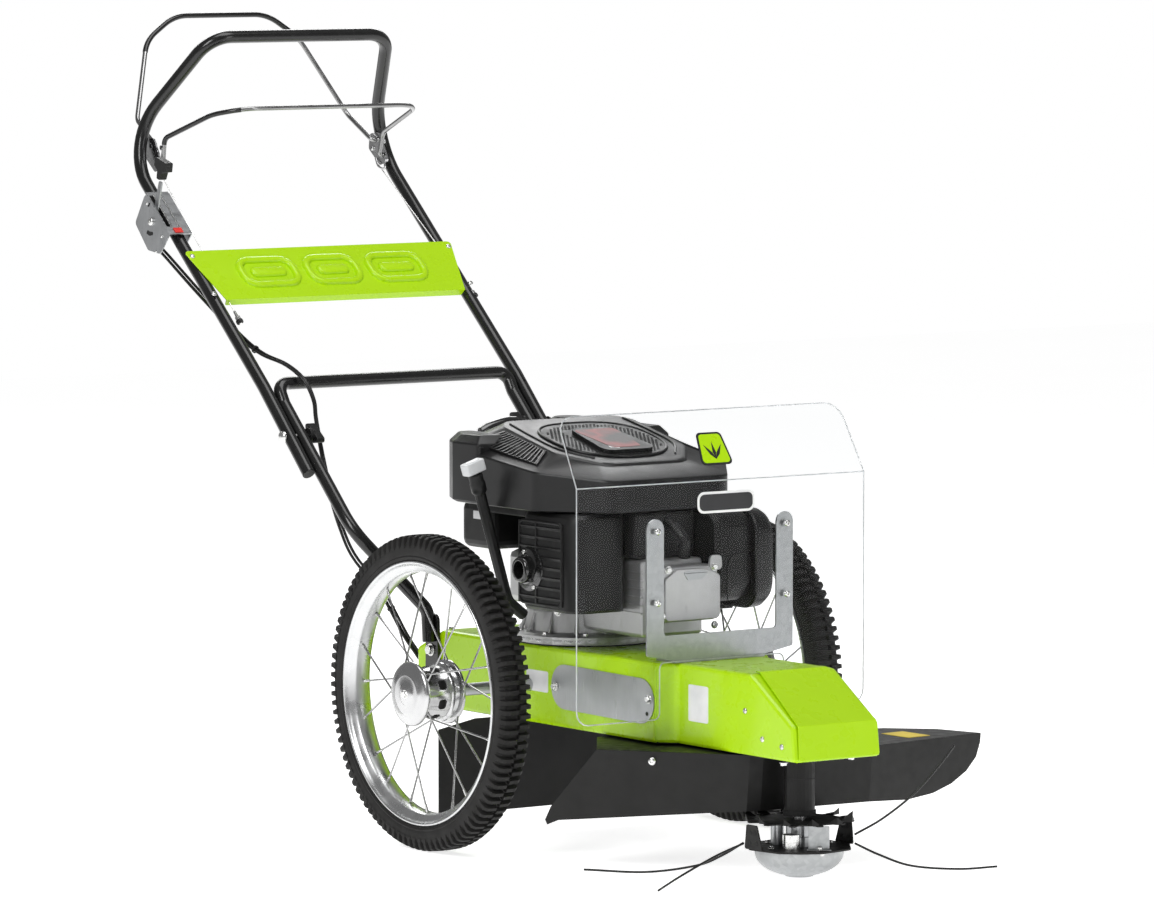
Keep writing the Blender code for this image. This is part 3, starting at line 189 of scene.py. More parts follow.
def coated(name, colour, rough, coat=0.0, peel=0.0, mottle=0.06, scale=9.0, specular=0.5):
    """Paint or powder coat: faint shifts of shade, uneven gloss and the orange peel of a sprayed skin."""
    n = Nodes(name, colour, rough)
    dark, light = shades(colour, mottle)
    n.colour(n.ramp(n.noise(scale), (0.35, dark), (0.65, light)))
    n.roughness(n.spread(n.noise(scale * 4), rough * 0.85, rough * 1.2))
    n.bump(n.noise(420.0, 2.0), peel, 0.0004)
    n.set(Coat_Weight=coat, Coat_Roughness=0.06, Specular_IOR_Level=specular)
    return n.material


def moulded(name, colour, rough, grain=0.25, size=900.0, specular=0.5):
    """Moulded plastic or rubber with a fine leathery grain and dusty patches."""
    n = Nodes(name, colour, rough)
    dark, light = shades(colour, 0.22)
    n.colour(n.ramp(n.noise(14.0, 6.0), (0.3, dark), (0.7, light)))
    n.roughness(n.spread(n.noise(30.0), rough * 0.86, min(1.0, rough * 1.15)))
    n.bump(n.cells(size), grain, 0.0003)
    n.set(Specular_IOR_Level=specular)
    return n.material


def metal(name, colour, rough, scratch=(30.0, 30.0, 900.0), strength=0.08, mottle=0.08):
    """Bare or plated metal with fine marks along one direction and patches of duller shine."""
    n = Nodes(name, colour, rough, 1.0)
    dark, light = shades(colour, mottle)
    n.colour(n.ramp(n.noise(22.0), (0.3, dark), (0.7, light)))
    n.roughness(n.spread(n.noise(1.0, 3.0, n.stretched(scratch)), rough * 0.75, rough * 1.35))
    n.bump(n.noise(1.0, 2.0, n.stretched(scratch)), strength, 0.0003)
    return n.material


def galvanised():
    """Hot-dipped zinc with its crystal spangle."""
    n = Nodes("zinc_spangle", (0.52, 0.54, 0.55), 0.38, 1.0)
    n.colour(n.ramp(n.cells(140.0, output="Color"), (0.1, (0.36, 0.37, 0.375)), (0.9, (0.425, 0.435, 0.44))))
    n.roughness(n.spread(n.cells(140.0), 0.3, 0.38))
    n.bump(n.noise(260.0, 3.0), 0.1, 0.0003)
    return n.material


def cast():
    """Sand-cast aluminium: a granular skin with darker pits."""
    n = Nodes("cast_alloy", (0.52, 0.52, 0.52), 0.38, 0.9)
    n.colour(n.ramp(n.noise(60.0, 6.0), (0.3, (0.47, 0.47, 0.47)), (0.7, (0.55, 0.55, 0.555))))
    n.roughness(n.spread(n.noise(60.0), 0.34, 0.52))
    n.bump(n.noise(900.0, 3.0), 0.22, 0.0003)
    return n.material


def polycarbonate():
    """Clear sheet with a trace of haze where it has been wiped."""
    n = Nodes("clear_sheet", (0.985, 0.992, 0.995), 0.03)
    n.set(Transmission_Weight=1.0, IOR=1.12, Specular_IOR_Level=0.5)
    n.roughness(n.spread(n.noise(4.0, 5.0), 0.01, 0.035))
    return n.material


def sheet_edge_highlight():
    """The sheet's sawn edge, painted pale and half clear as a highlight for the light it gathers."""
    n = Nodes("sheet_edge_highlight", (0.9, 0.93, 0.94), 0.35)
    n.colour(n.ramp(n.noise(90.0), (0.3, (0.72, 0.75, 0.77)), (0.7, (0.95, 0.97, 0.98))))
    n.set(Transmission_Weight=0.45, Alpha=0.75)
    return n.material


def ember():
    """The engine badge: a dark plate with a worn red glow towards its middle, and no lettering."""
    n = Nodes("badge_face", (0.1, 0.02, 0.02), 0.42)
    n.colour(n.ramp(n.noise(13.0, 2.0), (0.4, (0.012, 0.01, 0.01)), (0.53, (0.2, 0.012, 0.01)),
        (0.68, (0.02, 0.012, 0.012))))
    n.set(Specular_IOR_Level=0.3)
    return n.material


def floor_paint():
    """A pale matt floor that glows a little, so that it meets the white wall without an edge."""
    n = Nodes("pale_floor", (0.92, 0.92, 0.92), 0.7)
    n.colour(n.ramp(n.noise(2.0), (0.3, (0.91, 0.91, 0.91)), (0.7, (0.93, 0.93, 0.93))))
    n.set(Emission_Color=(1.0, 1.0, 1.0, 1.0), Emission_Strength=FLOOR_GLOW)
    return n.material


LIME = coated("lime_enamel", (0.425, 0.715, 0.001), 0.28, 0.22, 0.02, 0.012, specular=0.3)
POWDER = coated("satin_black_coat", (0.009, 0.0088, 0.0085), 0.46, 0.0, 0.22, 0.2, 16.0, 0.28)
PIPE = coated("black_tube_enamel", (0.0085, 0.0085, 0.0085), 0.22, 0.3, 0.05, 0.18, 20.0, 0.35)
PLASTIC = moulded("black_moulding", (0.0085, 0.0085, 0.0085), 0.42, specular=0.35)
SHELL = moulded("cowl_moulding", (0.009, 0.009, 0.0092), 0.34, 0.12, 1300.0, 0.38)
# Dull black: the own colour of the gasket, cable ties and grommet, and painted shade laid over holes, slots
# and openings.
DEEP = moulded("shadow_black", (0.006, 0.006, 0.006), 0.75, 0.1)
TYRE = moulded("tyre_rubber", (0.0115, 0.011, 0.0105), 0.66, 0.35, 650.0, 0.3)
SHEATH = moulded("cable_sheath", (0.009, 0.009, 0.009), 0.34, 0.05, 1500.0, 0.35)
NYLON = moulded("cutting_line", (0.011, 0.011, 0.011), 0.35, 0.05, 2000.0, 0.35)
GLOSS = coated("gloss_black_enamel", (0.01, 0.01, 0.01), 0.12, 0.8, 0.02, 0.1)
PALE = moulded("pale_grey_moulding", (0.62, 0.63, 0.64), 0.4, 0.1, 1200.0)
RED = moulded("red_mark", (0.75, 0.03, 0.02), 0.4, 0.05)
YELLOW = moulded("yellow_sticker", (0.9, 0.62, 0.02), 0.35, 0.04)
WHITE = moulded("white_sticker", (0.86, 0.87, 0.88), 0.35, 0.04)
INK = moulded("dark_print", (0.015, 0.015, 0.017), 0.4, 0.04)
ZINC = galvanised()
CAST = cast()
CLEAR = polycarbonate()
EDGE_HIGHLIGHT = sheet_edge_highlight()
BADGE = ember()
PLATE = metal("rolled_steel", (0.46, 0.47, 0.48), 0.36, (25.0, 400.0, 25.0))
BOLT = metal("plated_bolt", (0.7, 0.7, 0.69), 0.22, (200.0, 200.0, 200.0), 0.05, 0.15)
CHROME = metal("bright_chrome", (0.56, 0.56, 0.565), 0.19, (60.0, 60.0, 60.0), 0.006, 0.05)
ALLOY = metal("polished_rim_alloy", (0.62, 0.625, 0.63), 0.28, (14.0, 40.0, 40.0), 0.006, 0.04)
SPOKE = metal("spoke_steel", (0.42, 0.42, 0.42), 0.24, (60.0, 60.0, 60.0), 0.006, 0.1)
# The bail steel is given a dark colour: a painted reflection of the dark room around it.
WIRE = metal("bail_wire_steel", (0.3, 0.3, 0.3), 0.2, (40.0, 40.0, 40.0), 0.04, 0.12)


# ---------------------------------------------------------------- shapes
def shift(x, y, z):
    return Matrix.Translation((x, y, z))


def spin(angle, axis="Z"):
    return Matrix.Rotation(angle, 4, axis)


def spots(points):
    """Places in the axle frame taken into the row frame."""
    return [at(*point) for point in points]


def mirrored(half):
    """A path from the right-hand side carried over to the left, in the row frame."""
    return spots(half + [(-x, y, z) for x, y, z in reversed(half)])


def show(thing):
    bpy.context.scene.collection.objects.link(thing)
    return thing


def soften(piece, width, angle, harden=False):
    """A rounded edge wherever two faces meet at more than the angle."""
    edges = piece.modifiers.new("soft_edges", "BEVEL")
    edges.width, edges.segments, edges.limit_method = width, 2, "ANGLE"
    edges.angle_limit = radians(angle)
    edges.harden_normals = harden


def facing(centre, across, up):
    """A matrix at the centre whose first axis is across and whose second leans to up."""
    across = Vector(across).normalized()
    normal = across.cross(Vector(up)).normalized()
    turn = Matrix((across, normal.cross(across), normal)).transposed().to_4x4()
    return Matrix.Translation(centre) @ turn


def towards(centre, direction):
    """A matrix at the centre whose Z axis points along the direction."""
    return Matrix.Translation(centre) @ Vector(direction).to_track_quat("Z", "Y").to_matrix().to_4x4()


def rounded(corners, radius, steps=5):
    """A closed flat outline with its corners rounded, all alike or by a tuple of radii."""
    points = []
    for k, size in enumerate(radius if isinstance(radius, tuple) else (radius,) * len(corners)):
        before, here, after = (Vector((*corners[j % len(corners)], 0)) for j in (k - 1, k, k + 1))
        points.extend((p.x, p.y) for p in arc(before, here, after, size, steps))
    return points


def card(half_u, half_v, radius=0.0, steps=5):
    """A flat rectangle about the middle, its corners rounded where a radius is given."""
    corners = [(-half_u, -half_v), (half_u, -half_v), (half_u, half_v), (-half_u, half_v)]
    return rounded(corners, radius, steps) if radius else corners


def arc(before, corner, after, radius, steps):
    """The arc of the radius that rounds a corner of a path."""
    back, on = (before - corner).normalized(), (after - corner).normalized()
    half = back.angle(on) / 2
    reach = radius / tan(half)
    centre = corner + (back + on).normalized() * (radius / sin(half))
    start = corner + back * reach - centre
    normal = start.cross(corner + on * reach - centre).normalized()
    sweep = pi - 2 * half
    return [centre + Matrix.Rotation(sweep * k / steps, 3, normal) @ start for k in range(steps + 1)]


def bent(corners, radii, steps=8):
    """A path's corners rounded one by one."""
    corners = [Vector(corner) for corner in corners]
    points = [corners[0]]
    for three, radius in zip(zip(corners, corners[1:], corners[2:]), radii):
        points.extend(arc(*three, radius, steps))
    return points + [corners[-1]]


def flowing(knots, count):
    """Points along a Catmull-Rom curve through the knots."""
    knots = [Vector(knot) for knot in knots]
    ends = [2 * knots[0] - knots[1]] + knots + [2 * knots[-1] - knots[-2]]
    points = []
    for step in range(count):
        place = step * (len(knots) - 1) / (count - 1)
        first = min(int(place), len(knots) - 2)
        t = place - first
        a, b, c, d = ends[first : first + 4]
        curve = 2 * b + (c - a) * t + (2 * a - 5 * b + 4 * c - d) * t**2 + (3 * b - 3 * c + d - a) * t**3
        points.append(0.5 * curve)
    return points


class Shape:
    """Solids gathered in one mesh, which then becomes one named piece of the model."""

    def __init__(self, name):
        self.name = name
        self.bm = bmesh.new()

    def rings(self, rows, closed=False, caps=True):
        """Skins rows of equal counts of points. Closed joins the last row to the first."""
        made = [[self.bm.verts.new(point) for point in row] for row in rows]
        count = len(made[0])
        pairs = list(zip(made, made[1:])) + ([(made[-1], made[0])] if closed else [])
        for low, high in pairs:
            for k in range(count):
                self.bm.faces.new((low[k], low[(k + 1) % count], high[(k + 1) % count], high[k]))
        if caps and not closed:
            self.bm.faces.new(list(reversed(made[0])))
            self.bm.faces.new(made[-1])
        return self

    def slab(self, outline, thickness, place):
        """A flat outline given thickness both ways from its plane."""
        rows = [[place @ Vector((u, v, h)) for u, v in outline] for h in (-thickness / 2, thickness / 2)]
        return self.rings(rows)

    def block(self, low, high, place=Matrix()):
        (x0, y0, z0), (x1, y1, z1) = low, high
        base = [(x0, y0), (x1, y0), (x1, y1), (x0, y1)]
        return self.rings([[place @ Vector((x, y, z)) for x, y in base] for z in (z0, z1)])

    def lathe(self, profile, place, steps=32):
        """A solid turned about the place's Z axis from (radius, height) points, with flat ends."""
        rows = []
        for radius, height in profile:
            turns = [2 * pi * k / steps for k in range(steps)]
            rows.append([place @ Vector((radius * cos(a), radius * sin(a), height)) for a in turns])
        return self.rings(rows)

    def hoop(self, profile, place, steps=96):
        """A ring turned about the place's Z axis from a closed (radius, height) profile."""
        rows = []
        for k in range(steps):
            c, s = cos(2 * pi * k / steps), sin(2 * pi * k / steps)
            rows.append([place @ Vector((radius * c, radius * s, height)) for radius, height in profile])
        return self.rings(rows, closed=True)

    def band(self, outer, inner, low, high, place, steps=96):
        """A plain ring between two radii and two heights."""
        return self.hoop([(outer, low), (outer, high), (inner, high), (inner, low)], place, steps)

    def rod(self, start, end, radius, sides=16, end_radius=None):
        """A straight bar, tapered when it has an end radius."""
        place = towards(Vector(start), Vector(end) - Vector(start))
        length = (Vector(end) - Vector(start)).length
        return self.lathe([(radius, 0.0), (end_radius or radius, length)], place, sides)

    def sweep(self, points, radius, sides=12):
        """A round bar along a path, its section carried along without twisting."""
        points = [Vector(point) for point in points]
        heading = (points[1] - points[0]).normalized()
        side = heading.orthogonal().normalized()
        rows = []
        for k, point in enumerate(points):
            ahead = (points[min(k + 1, len(points) - 1)] - points[max(k - 1, 0)]).normalized()
            side = (heading.rotation_difference(ahead) @ side).normalized()
            heading = ahead
            other = heading.cross(side)
            turns = [2 * pi * j / sides for j in range(sides)]
            rows.append([point + radius * (cos(a) * side + sin(a) * other) for a in turns])
        return self.rings(rows)

    def hex_bolt(self, centre, direction, size, washer=True):
        """A washer and a hexagon head with a chamfered top."""
        place = towards(centre, direction)
        base = 0.0
        if washer:
            self.lathe([(size * 1.25, 0.0), (size * 1.25, size * 0.2), (0.0001, size * 0.2)], place, 20)
            base = size * 0.2
        head = [(size * 0.95, base), (size * 0.95, base + size * 0.62), (size * 0.78, base + size * 0.78)]
        return self.lathe(head, place, 6)

    def dome_bolt(self, centre, direction, size):
        """A low domed socket head."""
        place = towards(centre, direction)
        dome = [(size, 0.0), (size, size * 0.22), (size * 0.86, size * 0.48), (size * 0.55, size * 0.64)]
        return self.lathe(dome + [(size * 0.36, size * 0.64), (size * 0.32, size * 0.3)], place, 18)

    def place(self, material, bevel=0.0, angle=35.0):
        """Makes the piece where it stands, on no body yet."""
        mesh = bpy.data.meshes.new(self.name)
        bmesh.ops.recalc_face_normals(self.bm, faces=self.bm.faces[:])
        self.bm.to_mesh(mesh)
        self.bm.free()
        piece = show(bpy.data.objects.new(self.name, mesh))
        mesh.materials.append(material)
        mesh.shade_smooth()
        mesh.set_sharp_from_angle(angle=radians(angle))
        if bevel:
            soften(piece, bevel, 35.0, harden=True)
        return piece

    def ride(self, material, body="chassis", bevel=0.0, angle=35.0, replaces=()):
        """Makes the piece, sets it on its body, and hides the CAD nodes it stands for."""
        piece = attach(self.place(material, bevel, angle), body)
        if replaces:
            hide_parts(*replaces)
        return piece


def repaint(material, *names):
    """Gives CAD nodes that are shown as they are their finish."""
    for name in names:
        mesh = nodes[name].data
        mesh.materials.clear()
        mesh.materials.append(material)


# ---------------------------------------------------------------- wheels
def build_wheel(side, label):
    """A lugged tyre on a deep polished rim, laced with crossed spokes to a pressed-steel hub."""
    body = f"wheel_{label}"
    centre = at(side * TRACK_HALF, 0.0, WHEEL_RADIUS)
    place = towards(centre, (side, 0, 0))

    tyre = Shape(f"lugged_tyre_{label}")
    half = [(0.2136, 0.0235), (0.2185, 0.0258), (0.221, 0.025), (0.224, 0.0258), (0.236, 0.0252),
        (0.2425, 0.0205)]
    crown = [(0.246, 0.013), (0.2466, 0.0)]
    tyre.hoop(half + crown + [(r, -h) for r, h in reversed(half + crown[:1])], place, 144)
    lug = ((0.0015, 0.245, 0.254), (0.0175, 0.242, 0.2534), (0.0235, 0.237, 0.25), (0.0262, 0.233, 0.24))
    for k in range(2 * LUGS):
        turn = place @ spin(pi * k / LUGS)
        way = 1 if k % 2 else -1
        rows = []
        for h, foot, top in lug:
            corners = ((foot, -0.005), (foot, 0.005), (top, 0.0032), (top, -0.0032))
            rows.append([turn @ Vector((r, t, way * h)) for r, t in corners])
        tyre.rings(rows)
    tyre.ride(TYRE, body, angle=24.0, replaces=(f"tyre_{label}",))

    rim = Shape(f"polished_rim_{label}")
    lip = [(0.2128, 0.0235), (0.2118, 0.0252), (0.2095, 0.0256), (0.2076, 0.0243), (0.2068, 0.0215),
        (0.203, 0.0178), (0.1965, 0.015), (0.1938, 0.0105), (0.1932, 0.0)]
    rim.hoop(lip + [(r, -h) for r, h in reversed(lip[:-1])] + [(0.2132, -0.01), (0.2132, 0.01)], place, 144)
    rim.ride(ALLOY, body, angle=50.0, replaces=(f"rim_{label}",))

    hub = Shape(f"hub_shell_{label}")
    profile = [(0.0004, 0.0475), (0.0155, 0.047), (0.0185, 0.045), (0.02, 0.044), (0.03, 0.0455),
        (0.0335, 0.0445), (0.035, 0.0425), (0.046, 0.0415), (0.05, 0.0395), (0.052, 0.0365), (0.052, 0.033),
        (0.049, 0.0315), (0.0425, 0.03), (0.041, 0.027)]
    profile += [(0.041, -0.016), (0.0425, -0.018), (0.047, -0.019), (0.0475, -0.0215), (0.043, -0.024),
        (0.044, -0.029), (0.051, -0.031), (0.052, -0.034), (0.0505, -0.0365), (0.03, -0.0385),
        (0.024, -0.0435), (0.011, -0.044)]
    hub.lathe(profile, place, 64)
    hub.ride(CHROME, body, angle=50.0, replaces=(f"hub_{label}",))
    nut = Shape(f"hub_nut_{label}").hex_bolt(place @ Vector((0, 0, 0.0465)), (side, 0, 0), 0.0062)
    nut.ride(BOLT, body, 0.0004)
    # Dark slabs in the hub's windows: painted shade seen through the holes.
    holes = Shape(f"hub_window_shade_{label}")
    for k in range(8):
        turn = place @ spin(2 * pi * (k + 0.5) / 8)
        for u in (-0.004, 0.004):
            holes.slab(card(0.0055, 0.0085, 0.0053, 4), 0.0006,
                turn @ shift(0.04125, 0, u * 0.4) @ spin(pi / 2, "Y"))
    holes.ride(DEEP, body)

    spokes, nipples = Shape(f"spokes_{label}"), Shape(f"nipples_{label}")
    for k in range(SPOKES):
        flange = 1 if k % 2 else -1
        lean = 1.5 * (1 if k % 4 < 2 else -1)
        start, end = 2 * pi * (k + lean) / SPOKES, 2 * pi * k / SPOKES
        low = place @ Vector((0.047 * cos(start), 0.047 * sin(start), flange * 0.033))
        high = place @ Vector((0.1925 * cos(end), 0.1925 * sin(end), flange * 0.004))
        spokes.rod(low, high, 0.0016, 8)
        nipples.rod(high + (low - high).normalized() * 0.013, high, 0.0021, 8, 0.0026)
        nipples.lathe([(0.0028, -0.0012), (0.0034, 0.0), (0.0028, 0.0012)],
            towards(low, (flange * side, 0, 0)), 10)
    spokes.ride(SPOKE, body)
    nipples.ride(BOLT, body)


# ---------------------------------------------------------------- chassis and guards
def build_chassis():
    repaint(LIME, "chassis_frame", "nose_cover")
    soften(nodes["chassis_frame"], 0.0012, 40.0)
    soften(nodes["nose_cover"], 0.0006, 40.0)
    repaint(POWDER, "belly_cover", "front_deflector", "rear_skirt")
    repaint(PLATE, "inspection_plate_right", "inspection_plate_left", "axle", "gearbox")
    repaint(SHEATH, "drive_belt")

    bolts = Shape("chassis_bolts")
    for side in (-1, 1):
        out = (side, 0, 0)
        skin = side * (CHASSIS_HALF + 0.0024)
        for y, z in ((-0.075, 0.258), (-0.331, 0.262)):
            bolts.hex_bolt(at(skin, y, z), out, 0.0062)
        for y, z in ((-0.545, 0.262), (-0.59, 0.222), (-0.64, 0.215)):
            bolts.dome_bolt(at(side * (CHASSIS_FRONT_HALF - 0.0004), y, z), out, 0.0048)
        for z in (0.418, 0.531):
            bolts.hex_bolt(at(side * 0.127, -0.364, z), (0, 1, 0), 0.0055)
        for z in (0.418, 0.531):
            bolts.dome_bolt(at(side * 0.127, -0.3722, z), (0, -1, 0), 0.0056)
        bolts.hex_bolt(at(side * 0.09, 0.255, CHASSIS_TOP - 0.0022), (0, 0, 1), 0.0058)
        for y in (-0.62, -0.46, -0.3):
            bolts.hex_bolt(at(side * 0.066, y, 0.188), (0, 0, -1), 0.0058)
        bolts.hex_bolt(at(side * 0.045, -0.35, CHASSIS_TOP + 0.003), (0, 0, 1), 0.0055)
    bolts.ride(BOLT, bevel=0.0003)

    # A dark disc on the side plate: painted shade in the pilot hole.
    hollow = Shape("plate_pilot_hole_shade")
    for side in (-1, 1):
        hollow.lathe([(0.0034, 0.0), (0.0034, 0.0006)], towards(at(side * (CHASSIS_HALF + 0.0019), -0.325,
            0.238), (side, 0, 0)), 16)
    hollow.ride(DEEP)

    label = Shape("blank_side_label")
    label.slab(card(0.026, 0.029, 0.003, 3), STICKER, facing(at(-CHASSIS_FRONT_HALF - 0.0003, -0.422,
        0.261), (0, -1, 0), UP))
    label.slab(card(0.03, 0.017, 0.003, 3), STICKER, facing(at(-CHASSIS_HALF - 0.0003, -0.022, 0.262),
        (0, -1, 0), UP))
    label.ride(WHITE)

    ribs = Shape("chassis_weld_seams")
    for side in (-1, 1):
        for x, y, size in ((CHASSIS_HALF - 0.0004, -0.3445, 0.0016),
                (CHASSIS_FRONT_HALF + 0.0002, -0.3675, 0.0014)):
            ribs.sweep([at(side * x, y, z) for z in (0.197, 0.25, 0.314)], size, 8)
    ribs.ride(LIME)

    hardware = Shape("deflector_bolts")
    hardware.dome_bolt(at(-0.16, -0.403, 0.174), (-0.79, -0.61, 0), 0.0068)
    for x, y in ((-0.095, -0.355), (0.02, -0.5), (0.12, -0.47), (0.26, -0.45)):
        hardware.hex_bolt(at(x, y, 0.1872), (0, 0, -1), 0.0058)
    hardware.ride(BOLT, bevel=0.0003)
    tag = Shape("plain_deflector_tag")
    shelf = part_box("front_deflector")[1].z + 0.0004
    tag.slab(card(0.023, 0.034, 0.002, 3), STICKER, facing(at(0.296, -0.464, shelf), (1, 0.05, 0),
        (-0.05, 1, 0)))
    tag.ride(YELLOW)


def build_screen():
    """The clear guard's sheet with a painted highlight along its sawn edge and fold, bolted to the zinc
    bracket.
    """
    repaint(ZINC, "windshield_bracket")
    repaint(CLEAR, "windshield")
    front, fold_z, rise, lean, half = -0.37, 0.606, 0.124, radians(30.0), 0.282

    def on_sheet(u, v):
        past = max(0.0, v - fold_z)
        return at(u, front + past * sin(lean), min(v, fold_z) + past * cos(lean))

    low, top = 0.234, fold_z + rise
    outline = [(-0.122, low), (-0.122, 0.3235), (0.122, 0.3235), (0.122, low), (half, low), (half, fold_z),
        (half - 0.006, top), (-half + 0.006, top), (-half, fold_z), (-half, low)]
    radii = (0.01, 0.01, 0.01, 0.01, 0.022, 0.002, 0.03, 0.03, 0.002, 0.022)
    closed = rounded(outline, radii, 4)
    # Pale strips along the sheet's edge and its fold: a painted highlight where the clear sheet catches the
    # light.
    edge = Shape("guard_edge_highlight")
    edge.sweep([on_sheet(u, v) for u, v in closed + closed[:1]], 0.0011, 6)
    edge.sweep([on_sheet(u, fold_z) for u in (-half, -half / 2, 0.0, half / 2, half)], 0.001, 6)
    edge.ride(EDGE_HIGHLIGHT)

    slope = (0, sin(lean), cos(lean))
    out = Vector((0, -cos(lean), sin(lean)))
    crest = facing(on_sheet(0.0, fold_z + 0.052) + out * 0.0024, (1, 0, 0), slope)
    border = [(-0.024, 0.031), (-0.031, -0.026), (0.031, -0.026), (0.024, 0.031)]
    Shape("guard_badge_border").slab(rounded(border, 0.008), 0.0008, crest).ride(INK)
    inner = [(-0.0205, 0.0275), (-0.0272, -0.0225), (0.0272, -0.0225), (0.0205, 0.0275)]
    Shape("guard_badge_field").slab(rounded(inner, 0.006), 0.0008, crest @ shift(0, 0, 0.0005)).ride(LIME)
    leaf = Shape("guard_badge_leaf")
    for turn in (-0.6, 0.0, 0.6):
        blade = crest @ shift(0, -0.016, 0.0011) @ spin(turn)
        leaf.slab([(0.0, 0.0), (0.003, 0.012), (0.0, 0.03), (-0.003, 0.012)], 0.0005, blade)
    leaf.ride(INK)
    plain = facing(at(0.006, front - 0.0024, 0.572), (1, 0, 0), UP)
    Shape("guard_plain_mark_edge").slab(card(0.056, 0.017, 0.012), STICKER, plain).ride(WHITE)
    Shape("guard_plain_mark").slab(card(0.052, 0.013, 0.009), STICKER, plain @ shift(0, 0, 0.0004)).ride(INK)


